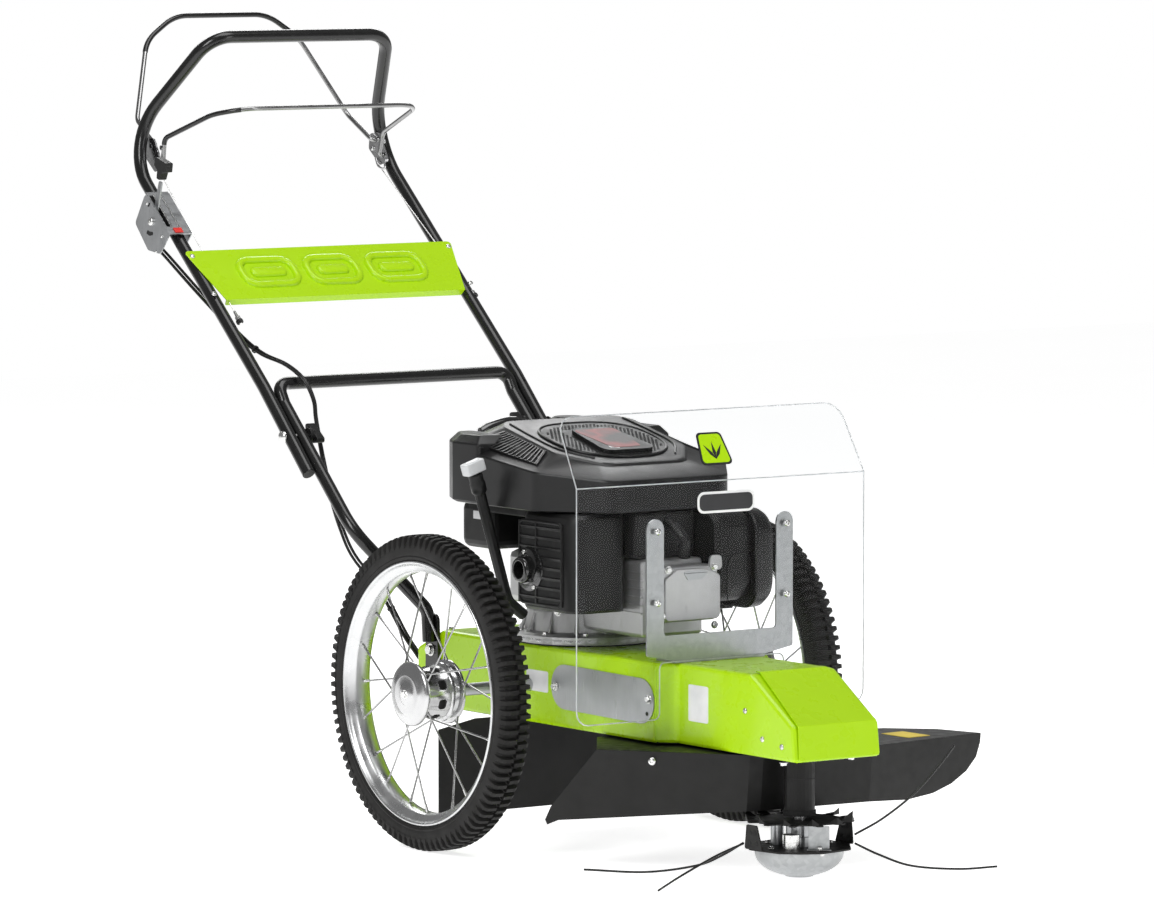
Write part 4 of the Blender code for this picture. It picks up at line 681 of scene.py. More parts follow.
# ---------------------------------------------------------------- cutting head
def build_head():
    """The head's own finish, its bolts, collar and clamp, and the four lines."""
    repaint(POWDER, "spindle_housing", "anti_wrap_disc")
    repaint(PLATE, "spindle_pulley", "head_drum", "engine_pulley")
    repaint(CHROME, "spindle_shaft")
    turn = Matrix.Translation(at(0, HEAD_Y, 0)) @ spin(HEAD_AZIMUTH)

    bowl = Shape("pressed_skid_bowl")
    rim, high = 0.07, 0.0437
    curve = [(rim * sqrt(max(0.0, 1 - t**2.2)), (high - 0.004) * (1 - t))
        for t in (0.0, 0.12, 0.24, 0.36, 0.48, 0.6, 0.7, 0.8, 0.88, 0.94)]
    top = [(0.001, high), (rim - 0.003, high), (rim, high - 0.001)]
    bowl.lathe(top + curve + [(0.022, 0.0), (0.001, 0.0)], turn, 64)
    bowl.ride(ZINC, "head", replaces=("skid_bowl",))

    clip = Shape("line_clip_face")
    tab = rounded([(-0.0165, -0.0175), (0.0165, -0.0175), (0.0165, 0.0185), (-0.0165, 0.0185)], 0.001, 2)
    clip.slab(tab, 0.0008, turn @ facing((0.029, -0.0526, 0.0665), (1, 0, 0), UP))
    clip.block((0.01, -0.064, 0.0478), (0.048, -0.052, 0.049), turn)
    clip.ride(ZINC, "head", 0.0003)
    bolts = Shape("head_bolts")
    bolts.hex_bolt(turn @ Vector((0.03, -0.0585, 0.049)), UP, 0.0042)
    bolts.hex_bolt(turn @ Vector((0.033, -0.059, 0.0436)), -UP, 0.0048)
    for x, y in ((-0.05, 0.03), (0.05, 0.03), (-0.045, -0.035)):
        bolts.hex_bolt(turn @ Vector((x, y, 0.0476)), UP, 0.0042)
    bolts.ride(BOLT, "head", 0.0003)

    plate, eyes, rims = (Shape(name) for name in ("line_plate_pressing", "line_guide_hole_shade",
        "line_guide_eyelets"))
    octagon = [(0.0865 * cos(a), 0.0865 * sin(a)) for a in (pi / 8 + k * pi / 4 for k in range(8))]
    plate.slab(rounded(octagon, 0.014, 4), 0.003, turn @ shift(0, 0, 0.0459))
    for way in (-1, 1):
        stand = turn @ facing((way * 0.072, way * 0.04, 0.047), (0.62, -0.78, 0), (way * 0.08, way * 0.06, 1))
        ear = [(-0.0215, -0.001), (0.0215, -0.001), (0.0125, 0.0385), (-0.0125, 0.0385)]
        plate.slab(rounded(ear, 0.003, 3), 0.0026, stand)
        for v, reach, size in ((0.01, 0.0085, 0.003), (0.026, 0.006, 0.0034)):
            for u in (-reach, reach):
                # Dark discs in the guide eyelets: painted shade in the line holes.
                eyes.lathe([(size, -0.0016), (size, 0.0016)], stand @ shift(u, v, 0), 14)
                rims.band(size + 0.0012, size, -0.0017, 0.0017, stand @ shift(u, v, 0), 16)
    plate.ride(POWDER, "head", 0.0004, replaces=("line_plate",))
    eyes.ride(DEEP, "head")
    rims.ride(POWDER, "head")
    drum = Shape("drum_lug_dark")
    drum.lathe([(0.0095, 0.086), (0.0105, 0.085), (0.0105, 0.0474)], turn @ shift(-0.034, 0.016, 0), 24)
    drum.ride(PLATE, "head")
    can = Shape("drum_lug_bright")
    can.lathe([(0.011, 0.0712), (0.0136, 0.0702), (0.0136, 0.0474)], turn @ shift(-0.014, -0.04, 0), 32)
    can.ride(BOLT, "head")
    spindle = Shape("spindle_collars")
    for low, high, radius in ((0.1535, 0.155, 0.0247), (0.0962, 0.104, 0.0262)):
        spindle.band(radius, 0.0235, low, high, turn, 48)
    spindle.ride(DEEP)

    crown = Shape("anti_wrap_teeth")
    foot = ((0.07, -0.008, 0.0893), (0.086, -0.005, 0.0893), (0.086, 0.006, 0.0893), (0.07, 0.009, 0.0893))
    tip = ((0.0705, -0.008, 0.0905), (0.0862, -0.005, 0.1), (0.0862, 0.006, 0.092), (0.0705, 0.009, 0.0905))
    for k in range(12):
        base = turn @ spin(2 * pi * (k + 0.5) / 12)
        crown.rings([[base @ Vector(corner) for corner in row] for row in (foot, tip)])
    crown.ride(POWDER, "head")

    routes = {
        "trimmer_line_1": [(-0.0865, 0.004, 0.0515), (-0.1227, 0.004, 0.03), (-0.1617, 0.004, 0.015),
        (-0.2399, 0.004, 0.005), (-0.3368, 0.004, 0.0089)],
        "trimmer_line_2": [(-0.0865, -0.004, 0.0515), (-0.13, -0.02, 0.034), (-0.185, -0.085, 0.012),
        (-0.222, -0.19, 0.004)],
        "trimmer_line_3": [(0.0865, -0.004, 0.0515), (0.1257, -0.004, 0.033), (0.1758, -0.004, 0.016),
        (0.2485, -0.004, 0.011), (0.3096, -0.004, 0.015)],
        "trimmer_line_4": [(0.0865, 0.004, 0.064), (0.1309, 0.004, 0.0898), (0.1799, 0.004, 0.1292),
        (0.2187, 0.004, 0.1733), (0.242, 0.004, 0.2047)],
    }
    for name, knots in routes.items():
        route = [turn @ point for point in flowing(knots, 60)]
        curve = bpy.data.curves.new(f"nylon_{name}", "CURVE")
        curve.dimensions = "3D"
        curve.bevel_depth = LINE
        curve.bevel_resolution = 4
        curve.use_fill_caps = True
        spline = curve.splines.new("POLY")
        spline.points.add(len(route) - 1)
        for point, place in zip(spline.points, route):
            point.co = (*place, 1.0)
        line = show(bpy.data.objects.new(f"nylon_{name}", curve))
        curve.materials.append(NYLON)
        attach(line, "head")
        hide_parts(name)


# ---------------------------------------------------------------- engine
def deck_height(y):
    """The sloped deck on top of the cowl, which is lowest at the front."""
    return DECK_HEIGHT + DECK_SLOPE * (y + 0.03)


def superellipse(half_x, half_y, centre_y, front, rear, count=96):
    """A plan ring that is rounder at the front than at the rear."""
    ring = []
    for k in range(count):
        c, s = cos(2 * pi * k / count), sin(2 * pi * k / count)
        power = rear if s > 0 else front
        size = (abs(c) ** power + abs(s) ** power) ** (-1.0 / power)
        ring.append((half_x * size * c, centre_y + half_y * size * s))
    return ring


COWL_CENTRE_Y = -0.045
FLANK_LOW, FLANK_HIGH = (0.184, 0.181), (0.131, 0.122)
COWL_PLAN = ((0.6, -1.0), (1.0, -0.42), (1.0, 0.8), (0.84, 1.0), (-0.84, 1.0), (-1.0, 0.8), (-1.0, -0.42),
    (-0.6, -1.0))


def cowl_ring(half_x, half_y, radius, height):
    """One level of the cowl: its eight-sided plan with rounded corners, each point at height(y)."""
    corners = [(half_x * u, COWL_CENTRE_Y + half_y * v) for u, v in COWL_PLAN]
    return [at(x, y, height(y)) for x, y in rounded(corners, radius, 6)]


def shoulder_height(y):
    """The crease between the cowl's skirt and its sloped flanks, which climbs to the rear."""
    return CREASE_HEIGHT + 0.042 * (y + 0.232) / 0.374


def flank(side, along, rise, lift=0.0):
    """A point on the cowl's flat flank: along runs from front to rear, rise from the crease to the deck."""
    (low_x, low_half), (high_x, high_half) = FLANK_LOW, FLANK_HIGH
    reach = COWL_PLAN[1][1] + (COWL_PLAN[2][1] - COWL_PLAN[1][1]) * along
    y_low, y_high = COWL_CENTRE_Y + low_half * reach, COWL_CENTRE_Y + high_half * reach
    low = Vector((side * low_x, y_low, shoulder_height(y_low)))
    high = Vector((side * high_x, y_high, deck_height(y_high) - 0.003))
    out = Vector((side * (high.z - low.z), 0, 0.053)).normalized()
    spot = low.lerp(high, rise) + out * lift
    return at(*spot)


def flank_bar(shape, side, start, end, width, low=-0.002, high=0.0016):
    """A straight bar on the flank between two (along, rise) points."""
    a, b = (flank(side, *spot) for spot in (start, end))
    out = (flank(side, *start, 0.01) - flank(side, *start)).normalized()
    across = (b - a).cross(out).normalized() * width / 2
    rows = []
    for end_point in (a, b):
        section = ((-1, low), (1, low), (1, high), (-1, high))
        rows.append([end_point + across * i + out * j for i, j in section])
    shape.rings(rows)


def build_cowl():
    """The blower cowl: a deep skirt, faceted flanks with louvres, a sloped deck with mesh and badge."""
    cowl = Shape("blower_cowl_shell")
    levels = [
        (0.1865, 0.1835, 0.036, lambda y: 0.547),
        (0.1895, 0.1865, 0.036, lambda y: 0.549),
        (0.1895, 0.1865, 0.036, lambda y: shoulder_height(y) - 0.0045),
        (0.188, 0.185, 0.036, lambda y: shoulder_height(y) - 0.0015),
        (0.184, 0.181, 0.034, shoulder_height),
        (0.132, 0.123, 0.03, lambda y: deck_height(y) - 0.0035),
        (0.129, 0.12, 0.03, lambda y: deck_height(y) - 0.0008),
        (0.124, 0.115, 0.03, deck_height),
    ]
    cowl.rings([cowl_ring(*level) for level in levels])
    cowl.block((-0.06, 0.09, 0.5475), (0.11, 0.1385, 0.644), HOME)
    piece = cowl.ride(SHELL, angle=26.0, replaces=("blower_cowl",))
    recess = Shape("cap_recess")
    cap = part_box("fuel_cap")
    middle = (Vector(cap[0]) + Vector(cap[1])) / 2
    recess.lathe([(0.0345, -0.0296), (0.0345, 0.06)], shift(middle.x, middle.y, cap[0][2] + 0.0295), 48)
    cutter = recess.place(SHELL)
    boolean = piece.modifiers.new("recess", "BOOLEAN")
    boolean.operation = "DIFFERENCE"
    boolean.object = cutter
    bpy.context.view_layer.objects.active = piece
    bpy.ops.object.modifier_apply(modifier="recess")
    bpy.data.objects.remove(cutter)

    ears = Shape("cowl_rear_corners")
    for side in (-1, 1):
        corners = ((0.134, 0.02), (0.1915, 0.033), (0.1925, 0.102), (0.17, 0.145), (0.134, 0.145))
        plan = rounded([(side * x, y) for x, y in corners], 0.007, 4)
        inner = []
        for x, y in plan:
            inner.append((x - side * 0.012 if abs(x) > 0.15 else x, y + (0.01 if y < 0.06 else -0.01)))
        ears.rings([[at(x, y, z) for x, y in ring] for ring,
            z in ((plan, 0.55), (plan, 0.644), (inner, 0.658))])
        ears.block((side * 0.176 - 0.013, 0.03, 0.552), (side * 0.176 + 0.013, 0.0345, 0.64), HOME)
    ears.ride(SHELL, bevel=0.003, angle=30.0)

    backs, bars = Shape("cowl_vent_shadow"), Shape("cowl_vent_bars")
    for side in (-1, 1):
        opening = ((0.06, 0.26), (0.94, 0.26), (0.86, 0.92), (0.14, 0.92))
        backs.rings([[flank(side, u, t, lift) for u, t in opening] for lift in (-0.002, 0.0004)])
        for u in range(16):
            low, high = 0.072 + 0.057 * u, 0.15 + 0.0466 * u
            flank_bar(bars, side, (low, 0.26), (high, 0.92), 0.0034, high=0.003)
        for rise, size in ((0.27, 0.003), (0.575, 0.0052), (0.915, 0.0034)):
            flank_bar(bars, side, (0.04 + 0.1 * rise, rise), (0.96 - 0.1 * rise, rise), size, high=0.0022)
        for low, high in ((0.055, 0.14), (0.945, 0.865)):
            flank_bar(bars, side, (low, 0.24), (high, 0.94), 0.004, high=0.0026)
    backs.ride(DEEP)
    bars.ride(SHELL, bevel=0.0005)

    slope = Vector((0, 1, DECK_SLOPE))
    rise = Vector((0, -DECK_SLOPE, 1)).normalized()
    # Dark ovals over the deck mesh: painted shade seen through its holes.
    holes = Shape("deck_mesh_hole_shade")
    pitch = 0.0072
    for row in range(-13, 14):
        for column in range(-14, 15):
            x = (column + 0.5 * (row % 2)) * pitch
            y = -0.05 + row * pitch * 0.8
            outside = (abs(x) / 0.092) ** 2.3 + (abs(y + 0.05) / 0.08) ** 2.3 > 1
            under_badge = abs(x) < 0.052 and abs(y + 0.057) < 0.06
            if outside or under_badge:
                continue
            base = facing(at(x, y, deck_height(y)) + rise * 0.002, (1, 0, 0), slope)
            oval = [(0.0024 * cos(a), 0.0017 * sin(a)) for a in (k * pi / 4 for k in range(8))]
            holes.slab(oval, 0.0007, base)
    holes.ride(DEEP)
    grille = Shape("deck_mesh_plate")
    plan = superellipse(0.098, 0.087, -0.05, 2.3, 2.8, 64)
    grille.rings([[at(x, y, deck_height(y) + h) for x, y in plan] for h in (0.0002, 0.002)])
    grille.ride(PLASTIC)
    ring = Shape("deck_mesh_rim")
    plan = superellipse(0.1, 0.089, -0.05, 2.3, 2.8, 96)
    ring.sweep([at(x, y, deck_height(y) + 0.0012) for x, y in plan + plan[:1]], 0.0026, 8)
    for side in (-1, 1):
        crease = [(side * 0.112, 0.055), (side * 0.116, -0.02), (side * 0.112, -0.085), (side * 0.08, -0.135)]
        ring.sweep(flowing([at(x, y, deck_height(y) + 0.0006) for x, y in crease], 24), 0.0018, 8)
    ring.ride(SHELL)

    repaint(PLASTIC, "top_emblem_plate")
    low, high = (Vector(corner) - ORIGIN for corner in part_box("top_emblem_plate"))
    back, front = high.y - 0.01, low.y + 0.01
    middle = (back + front) / 2
    top = high.z - DECK_SLOPE * (high.y - middle)
    place = facing(at(0, middle, top) + rise * 0.0004, (1, 0, 0), slope)
    reach, wide = (back - front) / 2, (high.x - low.x) / 2 - 0.01
    face = [(-wide * 0.7, -reach), (wide * 0.7, -reach), (wide, reach * 0.8), (wide * 0.9, reach),
        (-wide * 0.9, reach), (-wide, reach * 0.8)]
    Shape("badge_face").slab(rounded(face, 0.008), 0.0008, place).ride(BADGE)
    tag = facing(at(-wide * 0.45, front + 0.004,
        deck_height(front) + (top - deck_height(middle))) + rise * 0.001, (0.9, -0.3, -0.07), slope)
    Shape("blank_deck_label").slab(card(0.014, 0.0048, 0.001, 2), STICKER, tag).ride(WHITE)


def build_engine():
    """The cowl and what is below it: crankcase, rocker cover, muffler guard, air cleaner, starter."""
    build_cowl()
    repaint(CAST, "engine_base", "rocker_cover")
    repaint(PLASTIC, "cylinder_shroud", "fuel_tank", "spark_plug_boot", "fuel_cap", "oil_fill_tube")
    repaint(PLATE, "muffler")
    for name in ("engine_base", "fuel_cap"):
        soften(nodes[name], 0.0012, 35.0)

    flange = Shape("engine_flange_rim")
    flange.hoop([(0.1175, 0.3225), (0.118, 0.33), (0.116, 0.3352), (0.108, 0.337), (0.106, 0.333),
        (0.106, 0.3225)], HOME, 96)
    flange.ride(ALLOY)
    Shape("engine_gasket").band(0.1187, 0.1, 0.3207, 0.3222, HOME, 72).ride(DEEP)
    bolts = Shape("engine_bolts")
    for k in range(10):
        a = 2 * pi * (k + 0.5) / 10
        bolts.hex_bolt(at(0.1105 * cos(a), 0.1105 * sin(a), 0.3372), UP, 0.005)
    for x, z in ((-0.062, 0.392), (0.05, 0.466), (-0.049, 0.466), (0.05, 0.372)):
        bolts.hex_bolt(at(x * 0.92, -0.2868, z * 0.985), (0, -1, 0), 0.0052)
    bolts.hex_bolt(at(-0.098, -0.06, 0.376), (-1, -0.2, 0), 0.0058)
    for z, y in ((0.452 + 0.027, -0.075), (0.452 - 0.028, -0.102)):
        bolts.dome_bolt(at(-0.1755, y, z), (-1, 0, 0), 0.0042)
    bolts.ride(BOLT, bevel=0.0003)

    ribs = Shape("crankcase_ribs")
    for k in range(14):
        a = radians(20 + 25.7 * k)
        foot, head = at(0.094 * cos(a), 0.094 * sin(a), 0.372), at(0.106 * cos(a), 0.106 * sin(a), 0.338)
        ribs.rod(head, foot, 0.0035, 8, 0.0022)
    for k in range(6):
        z = 0.384 + 0.013 * k
        ribs.block((-0.0625, -0.2365, z), (0.0625, -0.09, z + 0.0028), HOME)
    ribs.ride(CAST, bevel=0.0006)

    cover = Shape("rocker_cover_face")
    face = [(-0.054, -0.041), (0.054, -0.041), (0.054, 0.03), (0.02, 0.041), (-0.03, 0.041), (-0.054, 0.026)]
    cover.slab(rounded(face, 0.009), 0.01, facing(at(0, -0.2875, 0.418), (1, 0, 0), UP))
    ear = [(-0.013, -0.012), (0.013, -0.012), (0.011, 0.012), (-0.011, 0.012)]
    for x, z in ((0.05, 0.466), (-0.062, 0.388)):
        cover.slab(rounded(ear, 0.007), 0.006, facing(at(x, -0.2835, z), (1, 0, 0), UP))
    cover.ride(CAST, bevel=0.0014)
    dimple = Shape("rocker_cover_dimple")
    scoop = [(-0.022, 0.0), (-0.015, -0.01), (0.012, -0.01), (0.024, 0.0), (0.024, 0.004), (-0.022, 0.004)]
    dimple.slab(rounded(scoop, 0.0035, 3), 0.001, facing(at(0.004, -0.293, 0.4515), (1, 0, 0), UP))
    dimple.ride(PLATE)

    guard = Shape("muffler_heat_guard")
    rows = []
    for inset, z in ((0.004, 0.388), (0.0, 0.392), (0.0, 0.529), (0.0035, 0.5385), (0.01, 0.544),
            (0.018, 0.5455)):
        plan = rounded([(-0.172 + inset, -0.052), (-0.172 + inset, -0.212 + inset),
            (-0.064, -0.212 + inset), (-0.064, -0.052)], 0.03 - inset, 8)
        rows.append([at(x, y, z) for x, y in plan])
    guard.rings(rows)
    guard.ride(PLASTIC, angle=28.0, replaces=("muffler_guard",))
    # A dark sheet behind the louvres and in the top slot: painted shade in the guard's openings.
    window = Shape("muffler_guard_window_shade")
    frame_in = card(0.058, 0.066, 0.01, 4)
    side_face = facing(at(-0.1722, -0.118, 0.4635), (0, -1, 0), UP)
    window.slab(frame_in, 0.001, side_face)
    slot = card(0.04, 0.0075, 0.004, 3)
    window.slab(slot, 0.0008, facing(at(-0.128, -0.14, 0.5456), (0, 1, 0), (-1, 0, 0)))
    window.ride(DEEP)
    slats = Shape("muffler_guard_louvres")
    for k in range(8):
        tilt = side_face @ shift(0, -0.056 + 0.016 * k, 0.0006) @ spin(radians(32), "X")
        slats.block((-0.057, -0.0036, -0.0014), (0.057, 0.0036, 0.0012), tilt)
    for u in (-0.058, 0.058, -0.012):
        slats.block((u - 0.0022, -0.066, -0.001), (u + 0.0022, 0.066, 0.0028), side_face)
    slats.sweep([side_face @ Vector((u, v, 0.0006)) for u, v in frame_in + frame_in[:1]], 0.0026, 8)
    slats.ride(PLASTIC, bevel=0.0003)

    pipe = Shape("exhaust_stub")
    mouth = towards(at(-0.1505, -0.088, 0.452), (-1, 0, 0))
    outer = [(0.0355, 0.0228), (0.0362, 0.0236), (0.0355, 0.0246), (0.024, 0.025), (0.0215, 0.027),
        (0.0213, 0.04), (0.0196, 0.044), (0.016, 0.0456), (0.0142, 0.045), (0.0136, 0.042), (0.0132, 0.008),
        (0.021, 0.006), (0.021, 0.0228)]
    pipe.hoop(outer, mouth, 56)
    pipe.ride(GLOSS, angle=50.0, replaces=("exhaust_outlet",))
    # A dark disc inside the pipe: painted shade in its bore.
    Shape("exhaust_bore_shade").lathe([(0.013, 0.01), (0.013, 0.011)], mouth, 32).ride(DEEP)

    Shape("blank_serial_label").slab(card(0.014, 0.0065, 0.001, 2), STICKER,
        facing(at(-0.1504, 0.09, 0.524), (0, -1, 0), UP)).ride(WHITE)

    Shape("cowl_under_shadow").block((-0.15, -0.18, 0.53), (0.15, 0.12, 0.5466), HOME).ride(DEEP, bevel=0.004)

    case = Shape("air_cleaner_case")
    cover = Shape("air_cleaner_cover")
    for shape, levels in (
        (case, ((0.0615, 0.006, 0.022), (0.07, 0.0, 0.026), (0.118, 0.0, 0.03), (0.129, 0.003, 0.032),
        (0.1335, 0.004, 0.032))),
        (cover, ((0.1345, 0.003, 0.034), (0.137, 0.0, 0.036), (0.16, 0.001, 0.038), (0.172, 0.006, 0.04),
        (0.1785, 0.016, 0.036), (0.18, 0.03, 0.03))),
    ):
        inner, wider = (-0.272, -0.11, 0.398, 0.544), (-0.28, -0.102, 0.384, 0.5455)
        front, back, base, top = inner if shape is case else wider
        rows = []
        for x, inset, soft in levels:
            loop = [(front + inset, base + inset), (back - inset, base + inset),
                (back - inset, top - inset), (front + inset, top - inset)]
            rows.append([at(x, y, z) for y, z in rounded(loop, soft, 8)])
        shape.rings(rows)
    case.ride(PLASTIC, angle=30.0, replaces=("air_filter_case",))
    cover.ride(SHELL, angle=30.0, replaces=("air_filter_cover",))
    step = Shape("air_cleaner_creases")
    step.sweep(flowing(spots([(0.084, -0.2716, 0.402), (0.083, -0.2722, 0.44), (0.09, -0.2724, 0.47),
        (0.133, -0.2724, 0.48)]), 20), 0.0012, 8)
    clip = card(0.01, 0.006, 0.002, 3)
    for z in (0.386, 0.5445):
        step.slab(clip, 0.01, facing(at(0.134, -0.2, z), (1, 0, 0), UP))
    step.ride(PLASTIC, bevel=0.0006)

    boot = Shape("plug_boot_ribs")
    for t in (0.0, 0.004, 0.008):
        boot.lathe([(0.0105, 0.0), (0.0105, 0.0018)], towards(at(0.012, -0.2508, 0.4735 + t * 2),
            (0, -0.18, 1)), 20)
    lead = spots([(0.002, -0.236, 0.524), (-0.004, -0.215, 0.536), (-0.006, -0.19, 0.541)])
    boot.sweep(flowing(lead, 14), 0.0035, 10)
    boot.ride(PLASTIC)

    collar = Shape("oil_tube_collar")
    line = (Vector(DIPSTICK_SEAT) - Vector(DIPSTICK_FOOT)).normalized()
    top = at(*DIPSTICK_SEAT) - line * 0.03
    collar.lathe([(0.01, -0.004), (0.0125, 0.0), (0.013, 0.014), (0.0118, 0.016), (0.0118, 0.0285),
        (0.01, 0.029)], towards(top, line), 24)
    collar.ride(PLASTIC)
    stick = Shape("dipstick_grip")
    across = Vector((0, 1, 0)).cross(line).normalized()
    oval = card(0.0185, 0.0105, 0.004, 4)
    centre = at(*DIPSTICK_SEAT) + line * 0.011
    stick.slab(oval, 0.0195, facing(centre, across, (0, 1, 0)))
    stick.ride(PALE, "dipstick", 0.0022, replaces=("oil_dipstick",))
    dent = Shape("dipstick_dent")
    dent.slab(card(0.011, 0.004, 0.0035, 4), 0.0012, facing(centre + line * 0.0098, across, (0, 1, 0)))
    dent.ride(WHITE, "dipstick")

    knurl = Shape("fuel_cap_knurl")
    low, high = (Vector(c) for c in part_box("fuel_cap"))
    axis = shift((low.x + high.x) / 2, (low.y + high.y) / 2, low.z)
    for k in range(28):
        turn = axis @ spin(2 * pi * k / 28)
        knurl.block((0.03, -0.0016, 0.001), (0.033, 0.0016, 0.0128), turn)
    knurl.lathe([(0.012, 0.016), (0.026, 0.016), (0.025, 0.0176), (0.013, 0.0176)], axis, 40)
    knurl.ride(PLASTIC, "fuel_cap", 0.0005)

    grip = Shape("starter_tee")
    low, high = (Vector(c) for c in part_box("starter_grip"))
    middle = (low + high) / 2
    half = Vector((0.0365, 0.002, 0.0075))
    arch = [middle - half + Vector((0, 0, -0.002)), middle - half * 0.5 + Vector((0, 0, 0.0022)),
        middle + Vector((0, 0, 0.003)), middle + half * 0.5 + Vector((0, 0, 0.0022)),
        middle + half + Vector((0, 0, -0.002))]
    grip.sweep(flowing(arch, 18), 0.0088, 16)
    grip.lathe([(0.007, -0.016), (0.0075, -0.004), (0.006, 0.0)], towards(middle, (0, 0.77, 0.64)), 16)
    grip.ride(GLOSS, "starter", 0.002, replaces=("starter_grip",))
    eyelet = Shape("starter_rope_guide")
    eyelet.hoop([(0.012, -0.004), (0.012, 0.004), (0.0085, 0.005), (0.0085, -0.005)],
        towards(middle + Vector((0.006, -0.0235, -0.0145)), (0, 0.77, 0.64)), 24)
    eyelet.ride(PLASTIC)


# ---------------------------------------------------------------- handle and controls
def along_tube(distance, lift, x=0.0):
    """A point beside the handle's straight side: distance up from its bend, lift off its upper face."""
    direction = Vector(RAIL).normalized()
    normal = Vector((0, -direction.z, direction.y))
    return at(x, *RAIL_FOOT) + direction * distance + normal * lift


def build_tubes():
    """The two bent tubes, swept round so that their bends are smooth, with caps, bolts and the wing knobs."""
    x = RAIL_X
    near = [(-x, 0.43, 0.5725), (-x, *RAIL_FOOT), (-x, 1.0, 1.095), (-0.18, 0.842, 1.281)]
    path = bent(mirrored(near), [0.12, 0.1, 0.055, 0.055, 0.1, 0.12], 14)
    Shape("handle_tube").sweep(path, TUBE - 0.0001, 28).ride(PIPE, "handle", replaces=("handlebar",))
    x = FRAME_X
    near = [(-0.1265, 0.268, 0.3), (-0.1265, 0.272, 0.352), (-x, 0.336, 0.485), (-x, 0.54, 0.68),
        (-x, 0.56, 0.712)]
    path = bent(mirrored(near), [0.03, 0.09, 0.02, 0.02, 0.02, 0.02, 0.09, 0.03], 10)
    frame_tube = Shape("lower_frame_tube")
    frame_tube.sweep(path, TUBE - 0.0001, 28)
    tab = rounded([(-0.019, -0.052), (0.019, -0.052), (0.016, 0.05), (-0.016, 0.05)], 0.012, 6)
    for side in (-1, 1):
        frame_tube.slab(tab, 0.006, facing(at(side * (CHASSIS_HALF + 0.0036), 0.272, 0.296), (0, 1, 0),
            (0, 0.04, 1)))
    frame_tube.ride(PIPE, bevel=0.0008, replaces=("lower_frame",))

    bolts, plugs = Shape("frame_bolts"), Shape("tube_end_plugs")
    for side in (-1, 1):
        bolts.hex_bolt(at(side * (CHASSIS_HALF + 0.0066), 0.2735, 0.286), (side, 0, 0), 0.0085)
        plugs.rod(at(side * RAIL_X, 0.4312, 0.5737), at(side * RAIL_X, 0.429, 0.5715), 0.0104, 24)
    bolts.ride(BOLT, bevel=0.0004)
    plugs.ride(PLASTIC, "handle")

    for side, label in ((-1, "right"), (1, "left")):
        knob = Shape(f"clamp_wing_{label}")
        inner, outer = FRAME_X - TUBE - 0.001, RAIL_X + TUBE + 0.001
        hub = towards(at(side * inner, *FOLD), (-side, 0, 0))
        knob.lathe([(0.013, 0.0), (0.013, 0.006), (0.0105, 0.008), (0.01, 0.021), (0.008, 0.0225)], hub, 28)
        wing = [(-0.024, 0.004), (-0.01, -0.009), (0.01, -0.009), (0.024, 0.004), (0.019, 0.01),
            (-0.019, 0.01)]
        knob.slab(rounded(wing, 0.004, 4), 0.015, facing(at(side * (inner - 0.0135), *FOLD), (0, 0.8, 0.6),
            (0, -0.6, 0.8)))
        knob.ride(PLASTIC, f"clamp_{label}", 0.0015, replaces=(f"clamp_knob_{label}",))
        head = Shape(f"clamp_bolt_{label}")
        head.rod(at(side * (inner - 0.004), *FOLD), at(side * outer, *FOLD), 0.004, 16)
        cap = [(0.01, 0.0), (0.0098, 0.0015), (0.0085, 0.004), (0.0055, 0.0056), (0.002, 0.0062)]
        head.lathe(cap, towards(at(side * outer, *FOLD), (side, 0, 0)), 28)
        head.ride(BOLT, f"clamp_{label}")


def build_panel():
    """The lime cross panel with its folded lower lip and a raised plain motif."""
    repaint(LIME, "rear_panel")
    face = facing(along_tube(0.252, TUBE + 0.0031), (1, 0, 0), RAIL)
    motif = Shape("panel_raised_motif")
    for low, high in ((-0.19, -0.07), (-0.056, 0.056), (0.07, 0.19)):
        rows = []
        for inset, lift in ((0.0, -0.0006), (0.001, 0.003), (0.003, 0.0052), (0.007, 0.0062),
                (0.011, 0.0052), (0.013, 0.003), (0.014, -0.0006)):
            loop = [(low + inset, -0.036 + inset), (high - inset, -0.036 + inset),
                (high - inset, 0.036 - inset), (low + inset, 0.036 - inset)]
            rows.append([face @ Vector((u, v, lift)) for u, v in rounded(loop, 0.03 - inset, 10)])
        motif.rings(rows, closed=True)
        rows = []
        for inset, lift in ((0.0, -0.0006), (0.001, 0.0026), (0.003, 0.0044), (0.006, 0.0052)):
            loop = [(low + 0.024 + inset, -0.0115 + inset), (high - 0.024 - inset, -0.0115 + inset),
                (high - 0.024 - inset, 0.0115 - inset), (low + 0.024 + inset, 0.0115 - inset)]
            rows.append([face @ Vector((u, v, lift)) for u, v in rounded(loop, 0.0112 - inset, 6)])
        motif.rings(rows)
    motif.ride(LIME, "handle", angle=60.0)
    bolts = Shape("panel_screws")
    for side in (-1, 1):
        for distance in (0.296, 0.206):
            bolts.dome_bolt(along_tube(distance, TUBE + 0.0031, side * 0.261), RAIL_UP, 0.0046)
    bolts.ride(BOLT, "handle")


